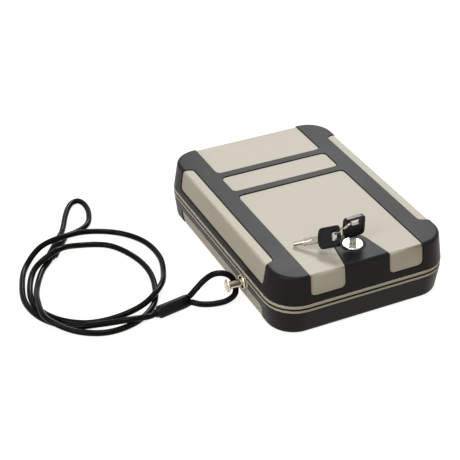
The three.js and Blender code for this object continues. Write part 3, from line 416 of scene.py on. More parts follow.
def sleeve_coat():
    """The same black, with faint marks of the press across it."""
    finish = Finish("sleeve coat")
    worn = finish.noise(7, 3)
    grain = finish.noise(0.5, 2)
    colour = finish.ramp(worn, [(0.3, (0.003, 0.003, 0.003)), (0.8, (0.007, 0.007, 0.007))])
    return finish.close(colour, 0.26 + worn * 0.16, bump=(grain, 0.02), Specular_IOR_Level=0.12)


sleeve_material = sleeve_coat()
sleeves = {}
for which, place in SLEEVES.items():
    rings = sleeve_rings(*sleeve_frame(*place), *SLEEVE_SIZES[which])
    sleeves[which] = ring_skin(f"sleeve_{which}", rings, sleeve_material)
    stands_for(sleeves[which], "base", "cable_jacket", f"ferrule_{which}")

for name, ends in (
    ("cable_run", ("near", "far")), ("cable_eye_near", ("near",)), ("cable_eye_far", ("far",)),
):
    piece, line = cords[name]
    line_length(line)


# ---- Base shell ----
# The lower half is pressed and painted a satin tan. It shows in the panels along the sides and
# under the floor, in the rim, in the tray inside and in the outer knuckles of both hinges.
# Heights of the band inside the seam that is painted dark as painted shade, and the softness of its
# edges.
SEAM_LOW = 26.85
SEAM_HIGH = 28.7
SEAM_EDGE = 0.1
# Dark brown painted shade for the band in the gap between the two rims.
PAINTED_SEAM_SHADE = (0.022, 0.016, 0.010, 1)
WELD = 2e-6
FLAT_ANGLE = 0.6
EDGE_ANGLE = 35


def tan_paint():
    """Satin tan with a fine orange peel, painted dark brown inside the seam as painted shade."""
    finish = Finish("tan paint")
    peel = finish.noise(1.3, 3)
    grain = finish.noise(0.28, 2)
    cloud = finish.noise(60, 2)
    height = finish.node("ShaderNodeSeparateXYZ", {}, {"Vector": finish.place()}, "Z") / MM
    above = ((height - SEAM_LOW) / SEAM_EDGE).limited()
    below = ((SEAM_HIGH - height) / SEAM_EDGE).limited()
    tan = finish.ramp(cloud, [(0.3, (0.470, 0.448, 0.370)), (0.7, (0.498, 0.476, 0.395))])
    # The band between the seam heights takes the painted shade.
    sockets = {"Factor": above * below, "A": tan, "B": PAINTED_SEAM_SHADE}
    colour = finish.node("ShaderNodeMix", {"data_type": "RGBA"}, sockets, "Result")
    relief = peel * 0.6 + grain * 0.4
    return finish.close(colour, 0.46 + grain * 0.12, bump=(relief, 0.05), Specular_IOR_Level=0.4)


def evened(piece):
    """Keeps a piece's flats looking flat beside its rounded edges."""
    fair = piece.modifiers.new("flat faces", "WEIGHTED_NORMAL")
    fair.keep_sharp = True
    return piece


def dressed(node, name, material, bevel_mm=0.0, segments=2):
    """A welded copy of a solid, its flats made whole, its edges broken and a real finish on it."""
    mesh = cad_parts[node].data.copy()
    mesh.name = name
    build = bmesh.new()
    build.from_mesh(mesh)
    bmesh.ops.remove_doubles(build, verts=build.verts, dist=WELD)
    flat = math.radians(FLAT_ANGLE)
    bmesh.ops.dissolve_limit(build, angle_limit=flat, verts=build.verts, edges=build.edges)
    build.to_mesh(mesh)
    build.free()
    mesh.materials.clear()
    mesh.materials.append(material)
    mesh.shade_smooth()
    piece = placed(name, mesh)
    if bevel_mm:
        bevel = piece.modifiers.new("broken edges", "BEVEL")
        bevel.width = bevel_mm * MM
        bevel.segments = segments
        bevel.limit_method = "ANGLE"
        bevel.angle_limit = math.radians(EDGE_ANGLE)
        bevel.harden_normals = True
    return evened(piece)


def refinished(node, name, body, slot, material, bevel_mm=0.0):
    """Puts a dressed copy of a solid in the solid's place."""
    stands_for(dressed(node, name, material, bevel_mm), body, slot, node)


PAINT = tan_paint()
refinished("base_shell", "base_shell_painted", "base", "case_paint", PAINT)


# ---- Base skin ----
# A black moulded skin, 2 mm thick with rounded lips, is glued over the lower half. It frames the
# painted panels and stops at the rim, and is cut away round the cable post and the knuckles.
CASE_WIDTH = 178
CASE_LENGTH = 250
CASE_CORNER = 29
SKIN_THICKNESS = 2
LIP_RADIUS = 0.6
LIP_STEPS = (0, 0.06, 0.18, 0.36, 0.6)
EDGE_ROWS = 6
WALL_ROWS = 5
CORNER_TURN = 6
CORNER_STEPS = 6
HOLE_TURN = 7.5
SAME_SPOT = 1e-4
TINY = 1e-12
STRIPE_INNER = 56.5
STRIPE_OUTER = 74.9
FRONT_BAR = (22.4, 31.6)
BACK_BAR = (59.05, 68.25)
PANEL_CORNER = 5
PANEL_END = 108
PANEL_TOP = 15.5
EDGE_MIDDLE = 85.75
HOLE_GAP = 0.3
KNUCKLE_HALF = 6.1
KNUCKLE_PITCH = 12
KNUCKLE_LOW = 19.9
NOTCH_REACH = 20
HINGE_X = 42
BASE_SKIN_END = 24.1
COLLAR_Y = -56
COLLAR_Z = 21.3
COLLAR_HOLE = 6.9


class Unfolded:
    """The outside of a half laid flat, in millimetres: its face, with its walls all round it."""

    def __init__(self, up, face, rim_end, wall_inset, face_inset, edge_radius):
        self.up, self.face, self.edge = up, face, edge_radius
        self.wall_top = face - up * edge_radius
        self.half_x = CASE_WIDTH / 2 - face_inset - edge_radius
        self.half_y = CASE_LENGTH / 2 - face_inset - edge_radius
        self.corner = CASE_CORNER - face_inset - edge_radius
        self.arc = edge_radius * math.pi / 2
        self.lean = math.atan2(face_inset - wall_inset, abs(self.wall_top - rim_end))

    def reach(self, z):
        """How far out from the face's edge a height on the wall lies."""
        return self.arc + abs(self.wall_top - z) / math.cos(self.lean)

    def outline(self, reach):
        """The ring at a reach from the face's edge, finely divided round the corners."""
        x, y, r = self.half_x - self.corner, self.half_y - self.corner, self.corner + reach
        ring = []
        for cx, cy, start in ((x, -y, -90), (x, y, 0), (-x, y, 90), (-x, -y, 180)):
            for turn in range(0, 90 + CORNER_TURN, CORNER_TURN):
                angle = math.radians(start + turn)
                ring.append((cx + r * math.cos(angle), cy + r * math.sin(angle)))
        return ring

    def spot(self, x, y, depth):
        """The point that folds up from a place on the layout, at a depth under the surface."""
        cx = min(max(x, self.corner - self.half_x), self.half_x - self.corner)
        cy = min(max(y, self.corner - self.half_y), self.half_y - self.corner)
        away = math.hypot(x - cx, y - cy)
        past = away - self.corner
        if past <= 0:
            return x, y, self.face - self.up * depth
        if past < self.arc:
            turn = past / self.edge
            out, down = self.edge * math.sin(turn), self.edge * (1 - math.cos(turn))
            side, top = math.sin(turn), math.cos(turn)
        else:
            wall = past - self.arc
            side, top = math.cos(self.lean), math.sin(self.lean)
            out, down = self.edge + wall * top, self.edge + wall * side
        far = self.corner + out - depth * side
        z = self.face - self.up * (down + depth * top)
        return cx + (x - cx) / away * far, cy + (y - cy) / away * far, z


def grown(corners, more):
    """A polygon of (x, y, corner radius) points, run anticlockwise, made larger and rounded."""
    count = len(corners)
    moved = []
    for i, (x, y, radius) in enumerate(corners):
        here = Vector((x, y))
        way_in = (here - Vector(corners[i - 1][:2])).normalized()
        way_out = (Vector(corners[(i + 1) % count][:2]) - here).normalized()
        bulge = way_in.cross(way_out)
        outward = Vector((way_in.y + way_out.y, -way_in.x - way_out.x))
        corner = here + outward * (more / (1 + way_in.dot(way_out)))
        if radius:
            radius = max(radius + math.copysign(more, bulge), 0)
        moved.append((corner, way_in, way_out, radius))
    outline = []
    for corner, way_in, way_out, radius in moved:
        if not radius:
            outline.append(tuple(corner))
            continue
        half = math.acos(max(-1, min(1, -way_in.dot(way_out)))) / 2
        back = radius / math.tan(half)
        start, end = corner - way_in * back, corner + way_out * back
        for k in range(CORNER_STEPS + 1):
            s = k / CORNER_STEPS
            outline.append(tuple(start * (1 - s) ** 2 + corner * (2 * s * (1 - s)) + end * s**2))
    return outline


def round_hole(x, y, radius):
    turns = (math.radians(HOLE_TURN * i) for i in range(round(360 / HOLE_TURN)))
    return [(x + radius * math.cos(turn), y + radius * math.sin(turn), 0) for turn in turns]


def box_corners(x0, y0, x1, y1, radius=0):
    return [(x0, y0, radius), (x1, y0, radius), (x1, y1, radius), (x0, y1, radius)]


def middle_panel(y0, y1):
    """A panel between the long stripes, from one place along Y to another."""
    return box_corners(-STRIPE_INNER, y0, STRIPE_INNER, y1, PANEL_CORNER)


def mirrored(corners):
    return [(-x, y, radius) for x, y, radius in reversed(corners)]


def within(points, ring):
    """Which of an array of points lie inside a ring."""
    ring = np.array(ring)
    after = np.roll(ring, -1, axis=0)
    x, y = points[:, :1], points[:, 1:]
    rises = (ring[:, 1] > y) != (after[:, 1] > y)
    level = after[:, 1] == ring[:, 1]
    slope = (after[:, 0] - ring[:, 0]) / np.where(level, 1, after[:, 1] - ring[:, 1])
    return (rises & (x < ring[:, 0] + (y - ring[:, 1]) * slope)).sum(axis=1) % 2 == 1


def clearance(points, rings):
    """The distance of each of an array of points from the nearest ring."""
    least = np.full(len(points), np.inf)
    for ring in rings:
        start = np.array(ring)
        run = np.roll(start, -1, axis=0) - start
        square = np.maximum((run**2).sum(axis=1), TINY)
        offset = points[:, None, :] - start[None]
        share = np.clip((offset * run).sum(axis=2) / square, 0, 1)
        apart = np.linalg.norm(offset - share[..., None] * run, axis=2)
        least = np.minimum(least, apart.min(axis=1))
    return least


def meshed(rings, lines, loose=()):
    """Triangles over everything that the rings and open lines cover, with their corner points."""
    points, edges = [Vector(p) for p in loose], []
    for ring, closed in [(r, True) for r in rings] + [(line, False) for line in lines]:
        first = len(points)
        points += [Vector(p) for p in ring]
        last = len(points) - first
        edges += [(first + i, first + i + 1) for i in range(last - 1)]
        if closed:
            edges.append((first + last - 1, first))
    flat, _, faces, *_ = geometry.delaunay_2d_cdt(points, edges, [], 0, SAME_SPOT)
    return np.array([tuple(p) for p in flat]), np.array([tuple(f) for f in faces])


def closed_sheet(name, faces, top, under, material, sharp):
    """A body between two like sheets of points in millimetres, walled in along their edges."""
    count = len(top)
    sheet = [tuple(int(i) for i in face) for face in faces]
    sides = {}
    for face in sheet:
        for a, b in zip(face, face[1:] + face[:1]):
            sides[frozenset((a, b))] = None if frozenset((a, b)) in sides else (a, b)
    walls = [(b, a, a + count, b + count) for a, b in filter(None, sides.values())]
    back = [tuple(i + count for i in reversed(face)) for face in sheet]
    points = [tuple(Vector(p) * MM) for p in top + under]
    return mesh_object(name, points, sheet + back + walls, material, sharp)


def moulded_skin(name, half, end_z, holes, material, sink=lambda x, y: 0, extra_rings=()):
    """A skin over a half from its face to a height near its rim, with holes and rounded lips."""
    reach = half.reach(end_z)
    outer = half.outline(reach)
    cuts = [grown(hole, 0) for hole in holes]
    rings = [half.outline(reach - step) for step in LIP_STEPS]
    rings += [grown(hole, step) for hole in holes for step in LIP_STEPS]
    rings += [half.outline(half.arc * i / EDGE_ROWS) for i in range(EDGE_ROWS + 1)]
    wall = reach - half.arc
    rings += [half.outline(half.arc + wall * i / WALL_ROWS) for i in range(1, WALL_ROWS)]
    flat, faces = meshed([*rings, *extra_rings], zip(half.outline(0), outer))
    middles = flat[faces].mean(axis=1)
    kept = within(middles, outer)
    for cut in cuts:
        kept &= ~within(middles, cut)
    used, faces = np.unique(faces[kept], return_inverse=True)
    flat, faces = flat[used], faces.reshape(-1, 3)
    near = np.minimum(clearance(flat, [outer, *cuts]), LIP_RADIUS)
    lip = LIP_RADIUS - np.sqrt(np.maximum(LIP_RADIUS**2 - (LIP_RADIUS - near) ** 2, 0))
    top = [half.spot(x, y, depth + sink(x, y)) for (x, y), depth in zip(flat, lip)]
    under = [half.spot(x, y, SKIN_THICKNESS) for x, y in flat]
    return evened(closed_sheet(name, faces, top, under, material, sharp=50))


def fitted(panels):
    """The holes that panels show in, a gap wider all round, as finished outlines."""
    return [[(x, y, 0) for x, y in grown(panel, HOLE_GAP)] for panel in panels]


def knuckle_notches(half, height, middles):
    """Cuts at a skin's edge for the knuckles, from a height on the back wall outwards."""
    start = half.half_y + half.reach(height)
    end = start + NOTCH_REACH
    return [box_corners(x - KNUCKLE_HALF, start, x + KNUCKLE_HALF, end) for x in middles]


def cells(finish, size_mm, feature):
    """How far a place lies from the middle of its cell, over cells of a size."""
    sockets = {"Vector": finish.place(), "Scale": 1 / (size_mm * MM)}
    return finish.node("ShaderNodeTexVoronoi", {"feature": feature}, sockets, "Distance")


def black_skin():
    """Dull black plastic with a fine leather grain."""
    finish = Finish("black skin")
    leather = cells(finish, 0.9, "SMOOTH_F1")
    cloud = finish.noise(35, 2)
    colour = finish.ramp(cloud, [(0.3, (0.006, 0.006, 0.006)), (0.7, (0.009, 0.009, 0.009))])
    return finish.close(colour, 0.36 + cloud * 0.10, bump=(leather, 0.07),
                        Specular_IOR_Level=0.125)


SKIN = black_skin()
base_half = Unfolded(up=-1, face=0, rim_end=24.2, wall_inset=0.2, face_inset=2.8, edge_radius=4)
side_head = base_half.half_x + base_half.reach(PANEL_TOP)
side_foot = base_half.half_x + base_half.arc
base_side = [
    (STRIPE_OUTER, -82, PANEL_CORNER), (EDGE_MIDDLE, -87, 0), (side_foot, -87, 0),
    (side_head, -90, PANEL_CORNER), (side_head, 88, PANEL_CORNER), (side_foot, 85, 0),
    (EDGE_MIDDLE, 85, 0), (STRIPE_OUTER, 82.5, PANEL_CORNER),
]
base_panels = [
    base_side, mirrored(base_side),
    middle_panel(-PANEL_END, FRONT_BAR[0]), middle_panel(FRONT_BAR[1], BACK_BAR[0]),
    middle_panel(BACK_BAR[1], PANEL_END),
]
outer_knuckles = [side * HINGE_X + way * KNUCKLE_PITCH for side in (-1, 1) for way in (-1, 1)]
base_holes = [
    *fitted(base_panels),
    round_hole(-base_half.half_x - base_half.reach(COLLAR_Z), COLLAR_Y, COLLAR_HOLE),
    *knuckle_notches(base_half, KNUCKLE_LOW, outer_knuckles),
]
base_skin = moulded_skin("base_skin", base_half, BASE_SKIN_END, base_holes, SKIN)
stands_for(base_skin, "base", "skin_plastic", "base_bumper")


# ---- Base foam ----
# A pad of charcoal open-cell foam, die-cut to the tray and glued to its floor. Its upper edge is
# softly rounded, and its cells show as small pits, painted darker inside as painted shade.
FOAM_INSET = 8.82
FOAM_LOW = 4.2
FOAM_HIGH = 12.2
FOAM_PROFILE = (  # how far further in than the pad's edge, and the height
    (1.4, FOAM_LOW), (0.4, FOAM_LOW + 0.5), (0, FOAM_LOW + 1.6), (0, FOAM_HIGH - 2),
    (0.5, FOAM_HIGH - 0.7), (1.8, FOAM_HIGH - 0.12), (4, FOAM_HIGH),
)


def open_foam():
    """Charcoal foam with open cells, their pits painted darker as painted shade."""
    finish = Finish("open foam")
    pits = cells(finish, 0.9, "F1")
    cloud = finish.noise(12, 3)
    # The colour darkens towards each cell's sunk middle: painted shade in the pits.
    colour = finish.ramp(pits, [(0.1, (0.012, 0.012, 0.013)), (0.6, (0.048, 0.048, 0.050))])
    return finish.close(colour, 0.9 + cloud * 0.08, bump=(pits, 0.25), Sheen_Weight=0.15)


FOAM = open_foam()
whole_case = Unfolded(up=1, face=0, rim_end=-1, wall_inset=0, face_inset=0, edge_radius=0.001)
foam_rings = [
    [(x, y, z) for x, y in whole_case.outline(-FOAM_INSET - further)] for further, z in FOAM_PROFILE
]
tray_foam = ring_skin("tray_foam", foam_rings, FOAM)
stands_for(tray_foam, "base", "foam", "base_foam")


# ---- Striker ----
# A bent zinc-plated plate on the front wall of the base. Two pan-head screws hold it to bosses, and
# the lock's cam turns under its lip.
SCREW_X = 8
SCREW_Z = 17.5
SCREW_SEAT = -116.5
RECESS_BAR = 2
BRUSH_DRAW = 12


def plated(name, colour, roughness, brush_mm):
    """Bright plating with faint drawn marks."""
    finish = Finish(name)
    sockets = {"Vector": finish.place(), "Scale": (1 / BRUSH_DRAW, 1, 1)}
    drawn = finish.node("ShaderNodeMapping", {}, sockets, "Vector")
    marks = finish.noise(brush_mm, 2, 0.6, drawn)
    shade = finish.noise(5, 2)
    tone = finish.ramp(shade, [(0.3, tuple(0.9 * c for c in colour)), (0.7, colour)])
    return finish.close(tone, roughness + marks * 0.12, bump=(marks, 0.006), Metallic=1.0)


def turned(name, profile, base, along, material, hollow=False, sides=48):
    """A lathed piece from (radius, height) points, its axis along a direction from a base."""
    along = Vector(along).normalized()
    across = along.orthogonal().normalized()
    other = along.cross(across)
    turns = [2 * math.pi * i / sides for i in range(sides)]
    spokes = [across * math.cos(turn) + other * math.sin(turn) for turn in turns]
    rings = []
    for radius, height in profile:
        centre = Vector(base) + along * height
        rings.append([centre + spoke * radius for spoke in spokes])
    return ring_skin(name, rings, material, hollow)


def row_tree():
    """Copies of the start shape in a straight row, from a first place by even steps."""
    tree = Tree("Row of fixings", Count="Int", First="Vector", Step="Vector")
    sockets = {"Count": tree.inputs["Count"], "Start Location": tree.inputs["First"],
               "Offset": tree.inputs["Step"]}
    places = tree.node("GeometryNodeMeshLine", {}, sockets)
    sockets = {"Points": places, "Instance": tree.inputs["Geometry"]}
    tree.close(tree.node("GeometryNodeInstanceOnPoints", {}, sockets))
    return tree


def in_row(name, start, count, first, step, material):
    """A start shape in a straight row, its first place and its step given in millimetres."""
    first, step = (tuple(c * MM for c in p) for p in (first, step))
    return row.made(name, start, Count=count, First=first, Step=step, Material=material)


def crossed(blank, arm_mm, wide_mm, middle_mm, axis):
    """Cuts a cross recess in a screw head that faces along an axis, with two bars."""
    along = "XYZ".index(axis)
    for size in ([wide_mm, arm_mm], [arm_mm, wide_mm]):
        size.insert(along, RECESS_BAR)
        bar = bpy.data.meshes.new("bar")
        build = bmesh.new()
        bmesh.ops.create_cube(build, size=1)
        bmesh.ops.scale(build, vec=Vector(size) * MM, verts=build.verts)
        shift = Vector((0, 0, 0))
        shift[along] = middle_mm * MM
        bmesh.ops.translate(build, vec=shift, verts=build.verts)
        build.to_mesh(bar)
        build.free()
        cutter = placed("bar", bar)
        cut = blank.modifiers.new("cut", "BOOLEAN")
        cut.operation = "DIFFERENCE"
        cut.object = cutter
        mesh = applied(blank)
        blank.modifiers.clear()
        blank.data = mesh
        bpy.data.objects.remove(cutter)
    return blank


ZINC = plated("zinc plate", (0.52, 0.51, 0.47), 0.34, 0.5)
refinished("striker_plate", "striker", "base", "zinc", ZINC, 0.2)

row = row_tree()
pan_profile = [
    (1.0, -1.55), (2.1, -1.45), (2.7, -1.15), (2.95, -0.7), (3.0, -0.15), (2.9, 0),
    (1.5, 0), (1.5, 3.0), (1.2, 3.4),
]
pan_screw = turned("pan", pan_profile, (0, 0, 0), (0, -1, 0), ZINC, sides=32)
pan_screw = crossed(pan_screw, 3.2, 0.7, 1.9, "Y")
first_screw = (-SCREW_X, SCREW_SEAT, SCREW_Z)
screws = in_row("striker_screws", pan_screw, 2, first_screw, (2 * SCREW_X, 0, 0), ZINC)
stands_for(screws, "base", "zinc", "striker_screw_left", "striker_screw_right")


# ---- Cable post ----
# A nickel-plated steel post with a broad head slides through a chunky grooved collar in the left
# wall. A nut holds the collar inside, and a spring clip keeps the post from coming out.
POST_LINE = (COLLAR_Y, COLLAR_Z)
COLLAR_FACE = -91.8
HEAD_START = -106.5

NICKEL = plated("nickel plate", (0.62, 0.58, 0.47), 0.12, 0.5)
collar_profile = [
    (3.85, 0.25), (4.1, 0), (5.7, 0), (6.25, 0.2), (6.55, 0.6), (6.6, 1.0), (6.6, 2.0),
    (6.5, 2.15), (5.8, 2.3), (5.7, 2.6), (5.8, 2.9), (6.5, 3.05), (6.6, 3.2), (6.6, 5.85),
    (6.5, 5.9), (4.7, 5.9), (4.7, 14.6), (4.5, 14.77), (3.8, 14.77), (3.8, 0.4),
]
collar = turned("collar", collar_profile, (COLLAR_FACE, *POST_LINE), (1, 0, 0), NICKEL, hollow=True)
stands_for(collar, "base", "nickel", "post_collar")
refinished("post_collar_nut", "collar_nut", "base", "zinc", ZINC, 0.2)

post_profile = [
    (1.5, -0.35), (2.9, -0.28), (4.3, -0.1), (5.1, 0.1), (5.55, 0.45), (5.75, 0.9), (5.8, 1.3),
    (5.8, 2.2), (5.7, 2.42), (5.45, 2.5), (3.8, 2.5), (3.55, 2.6), (3.5, 2.85), (3.5, 29.8),
    (3.45, 29.85), (2.7, 29.85), (2.6, 29.95), (2.6, 31.3), (2.7, 31.4), (3.45, 31.4),
    (3.5, 31.45), (3.5, 32.4), (3.3, 32.8), (2.9, 33.05),
]
post = turned("post", post_profile, (HEAD_START, *POST_LINE), (1, 0, 0), NICKEL)
stands_for(post, "post", "nickel", "cable_post")
refinished("post_retaining_clip", "clip", "post", "zinc", ZINC, 0.12)


# ---- Hinge pins ----
# Each hinge turns on a headed steel pin, zinc plated and pushed through its three knuckles from
# the left. The outer two knuckles are the base's and the middle one is the lid's.
HINGE_LINE = (129.4, 28.0)
pin_profile = [
    (1.7, -19.1), (2.2, -18.95), (2.4, -18.6), (2.4, -18.2), (2.3, -18.1), (1.5, -18.1),
    (1.5, 17.8), (1.35, 17.8), (0.9, 18.3),
]
pin = turned("pin", pin_profile, (0, 0, 0), (1, 0, 0), ZINC, sides=32)
pins = in_row("hinge_pins", pin, 2, (-HINGE_X, *HINGE_LINE), (2 * HINGE_X, 0, 0), ZINC)
stands_for(pins, "base", "zinc", "hinge_pin_left", "hinge_pin_right")


# ---- Lid shell ----
# The upper half, pressed and painted like the lower one. Its panels lie a millimetre under the
# black skin, and its middle knuckles share the pins with the base.
refinished("lid_shell", "lid_shell_painted", "lid", "case_paint", PAINT)


# ---- Lid skin ----
# The lid's black skin frames its panels with two long stripes and two cross bars. In front it
# widens to a round tab with a shallow dish, in which the lock sits.
LID_SKIN_END = 31.9
LID_PANEL_LOW = 38.8
LID_KNUCKLE_TOP = 36.1
CASE_HEIGHT = 59.35
LOCK_Y = -94
LOCK_HOLE = 9.8
DISH_RADIUS = 13
DISH_DEPTH = 0.8
DISH_CURVE = 1.4
DISH_RINGS = (10.8, 11.6, 12.3, DISH_RADIUS)
TAB_RADIUS = 17.3
TAB_STEPS = 28
TAB_FOOT = (22.7, -120.18)
FOOT_CORNER = 2

lid_half = Unfolded(up=1, face=CASE_HEIGHT, rim_end=31.8, wall_inset=0.2, face_inset=3.7,
                    edge_radius=3.5)
panel_foot = lid_half.reach(LID_PANEL_LOW)
lid_end = lid_half.half_y + panel_foot
lid_side = lid_half.half_x + panel_foot
lid_edge = lid_half.half_x + lid_half.arc


def tab_edge():
    """The tab's outline from its right foot over its round top to its left foot."""
    foot = Vector(TAB_FOOT) - Vector((0, LOCK_Y))
    lean = math.atan2(foot.y, foot.x) + math.acos(TAB_RADIUS / foot.length)
    turns = (lean + (math.pi - 2 * lean) * i / TAB_STEPS for i in range(TAB_STEPS + 1))
    arc = [(TAB_RADIUS * math.cos(t), LOCK_Y + TAB_RADIUS * math.sin(t), 0) for t in turns]
    return [(*TAB_FOOT, FOOT_CORNER), *arc, (-TAB_FOOT[0], TAB_FOOT[1], FOOT_CORNER)]


def dish(x, y):
    """How deep the dish round the lock is at a place on the lid."""
    share = (DISH_RADIUS - math.hypot(x, y - LOCK_Y)) / (DISH_RADIUS - LOCK_HOLE)
    return DISH_DEPTH * min(max(share, 0), 1) ** DISH_CURVE


side_panel = [
    (STRIPE_OUTER, -85, PANEL_CORNER), (lid_edge, -90, 0), (lid_side, -90, PANEL_CORNER),
    (lid_side, 88, PANEL_CORNER), (lid_edge, 88, 0), (STRIPE_OUTER, 85.5, PANEL_CORNER),
]
front_panel = [
    (STRIPE_INNER, FRONT_BAR[0], PANEL_CORNER), (-STRIPE_INNER, FRONT_BAR[0], PANEL_CORNER),
    (-STRIPE_INNER, -lid_end, PANEL_CORNER), (-TAB_FOOT[0], -lid_end, PANEL_CORNER),
    *reversed(tab_edge()),
    (TAB_FOOT[0], -lid_end, PANEL_CORNER), (STRIPE_INNER, -lid_end, PANEL_CORNER),
]
lid_panels = [
    side_panel, mirrored(side_panel), front_panel,
    middle_panel(FRONT_BAR[1], BACK_BAR[0]), middle_panel(BACK_BAR[1], lid_end),
]
lid_holes = [
    *fitted(lid_panels),
    round_hole(0, LOCK_Y, LOCK_HOLE),
    *knuckle_notches(lid_half, LID_KNUCKLE_TOP, (-HINGE_X, HINGE_X)),
]
dish_rings = [[(x, y) for x, y, _ in round_hole(0, LOCK_Y, radius)] for radius in DISH_RINGS]
lid_skin = moulded_skin("lid_skin", lid_half, LID_SKIN_END, lid_holes, SKIN, dish, dish_rings)
stands_for(lid_skin, "lid", "skin_plastic", "lid_bumper")


# ---- Lid foam ----
# Egg-crate foam of the same kind, glued under the lid and cut away round the lock. Its waves run
# both ways, 30 mm apart, and hang 3 mm down.
LID_FOAM_TOP = 55.15
LID_FOAM_BODY = 6
LID_FOAM_REACH = (79.0, 115.0)
LID_FOAM_CORNER = 21
LOCK_CUT = (24, -68)
LOCK_CUT_CORNER = 3
FOAM_ROUND = 0.8
GRID_STEP = 3
GRID_MARGIN = 1
WAVE_LENGTH = 30
WAVE_HEIGHT = 3
WAVE_START = 2


def wave_tree():
    """Draws the under face of a slab down in crossed waves, deepest where both crests meet."""
    tree = Tree("Crossed waves", Wavelength="Float", Height="Float", Middle="Float")
    place = tree.node("GeometryNodeInputPosition", {}, {})
    x, y, z = (tree.node("ShaderNodeSeparateXYZ", {}, [place], axis) for axis in "XYZ")
    across, down = (
        tree.node("ShaderNodeMath", {"operation": "COSINE"},
                  [spread * (2 * math.pi) / tree.inputs["Wavelength"]])
        for spread in (x, y)
    )
    crest = (across * down + 1.0) * 0.5
    offset = tree.node("ShaderNodeCombineXYZ", {}, {"Z": crest * tree.inputs["Height"] * -1.0})
    low = tree.node("FunctionNodeCompare", {"operation": "LESS_THAN"}, [z, tree.inputs["Middle"]])
    sockets = {"Geometry": tree.inputs["Geometry"], "Selection": low, "Offset": offset}
    tree.close(tree.node("GeometryNodeSetPosition", {}, sockets))
    return tree


reach_x, reach_y = LID_FOAM_REACH
cut_x, cut_y = LOCK_CUT
foam_plan = [
    (-reach_x, -reach_y, LID_FOAM_CORNER), (-cut_x, -reach_y, LOCK_CUT_CORNER),
    (-cut_x, cut_y, LOCK_CUT_CORNER), (cut_x, cut_y, LOCK_CUT_CORNER),
    (cut_x, -reach_y, LOCK_CUT_CORNER), (reach_x, -reach_y, LID_FOAM_CORNER),
    (reach_x, reach_y, LID_FOAM_CORNER), (-reach_x, reach_y, LID_FOAM_CORNER),
]
foam_rim = grown(foam_plan, 0)
columns, rows = int(reach_x / GRID_STEP), int(reach_y / GRID_STEP)
grid = [
    (GRID_STEP * i, GRID_STEP * j)
    for i in range(-columns, columns + 1) for j in range(-rows, rows + 1)
]
clear = clearance(np.array(grid, float), [foam_rim]) > GRID_MARGIN
grid = [spot for spot, is_clear in zip(grid, clear) if is_clear]
flat, faces = meshed([foam_rim, grown(foam_plan, -FOAM_ROUND)], [], grid)
faces = faces[within(flat[faces].mean(axis=1), foam_rim)]
rounding = np.maximum(FOAM_ROUND - clearance(flat, [foam_rim]), 0)
top = [(x, y, LID_FOAM_TOP) for x, y in flat]
under = [(x, y, LID_FOAM_TOP - LID_FOAM_BODY + rise) for (x, y), rise in zip(flat, rounding)]
slab = closed_sheet("slab", faces, top, under, FOAM, sharp=60)
middle = (LID_FOAM_TOP - WAVE_START) * MM
roof_foam = wave_tree().made("roof_foam", slab, Wavelength=WAVE_LENGTH * MM,
                             Height=WAVE_HEIGHT * MM, Middle=middle, Material=FOAM)
stands_for(roof_foam, "lid", "foam", "lid_foam")


# ---- Cam lock ----
# A chromed die-cast cam lock. Its round mirror face stands just proud of the dish, and a big
# hexagon nut clamps it to the lid against a doubler plate.
LOCK_LOW = 37.25

CHROME = plated("chrome plate", (0.80, 0.80, 0.80), 0.05, 0.6)
housing_profile = [
    (6.2, 0), (8.1, 0), (8.25, 0.15), (8.25, 20.1), (9.35, 20.1), (9.5, 20.25), (9.5, 22.2),
    (9.42, 22.6), (9.2, 22.95), (8.85, 23.17), (8.5, 23.25), (7.75, 23.2), (7.6, 23.1),
    (7.6, 21.2), (6.2, 21.2),
]
housing = turned("lock_body", housing_profile, (0, LOCK_Y, LOCK_LOW), (0, 0, 1), CHROME,
                 hollow=True, sides=64)
stands_for(housing, "lid", "chrome", "lock_housing")
refinished("lock_doubler_plate", "doubler", "lid", "zinc", ZINC, 0.15)
refinished("lock_nut", "nut", "lid", "zinc", ZINC, 0.3)


# ---- Plug and cam ----
# The plug turns in the lock body with the key. A flat steel cam sits on its square tail under a
# cross-head screw.
CAM_SCREW_Z = 33.75

refinished("lock_plug", "plug", "plug", "chrome", CHROME, 0.1)
refinished("latch_cam", "cam", "plug", "zinc", ZINC, 0.15)
cam_screw_profile = [
    (1.6, -1.95), (2.9, -1.85), (3.6, -1.45), (3.95, -0.9), (4.0, -0.2), (3.9, 0), (1.5, 0),
    (1.5, 5.7), (1.2, 6.0),
]
blank = turned("pan", cam_screw_profile, (0, 0, 0), (0, 0, 1), ZINC, sides=32)
blank = crossed(blank, 4.2, 0.9, -2.6, "Z")
cam_screw = in_row("cam_screw_dressed", blank, 1, (0, LOCK_Y, CAM_SCREW_Z), (0, 0, 0), ZINC)
stands_for(cam_screw, "plug", "zinc", "cam_screw")


# ---- Keys ----
# Two alike: a nickel-plated blade with a hollow barrel and two bits, moulded into a square head of
# glossy black plastic. The head has a raised rim, a slot for the ring and grip ribs.
HEAD_SINK = 0.45
RIB_COUNT = 5
RIB_STEP = 1.9
RIB_REACH = 6.2
RIB_RADIUS = 0.45
RIB_LOW = -7.2
RIB_SINK = 0.12
RIB_ENDS = ((0.25, 0.35), (0.42, 0.15), (RIB_RADIUS, -0.1))  # radius, how far past the reach
SPARE_ALONG = (0.773, -0.543, 0.32)


def key_plastic():
    """Glossy black plastic, a little uneven."""
    finish = Finish("key head plastic")
    cloud = finish.noise(6, 2)
    colour = finish.ramp(cloud, [(0.3, (0.001, 0.001, 0.002)), (0.7, (0.003, 0.003, 0.004))])
    return finish.close(colour, 0.2 + cloud * 0.1, bump=(finish.noise(0.6), 0.004),
                        Specular_IOR_Level=0.24)


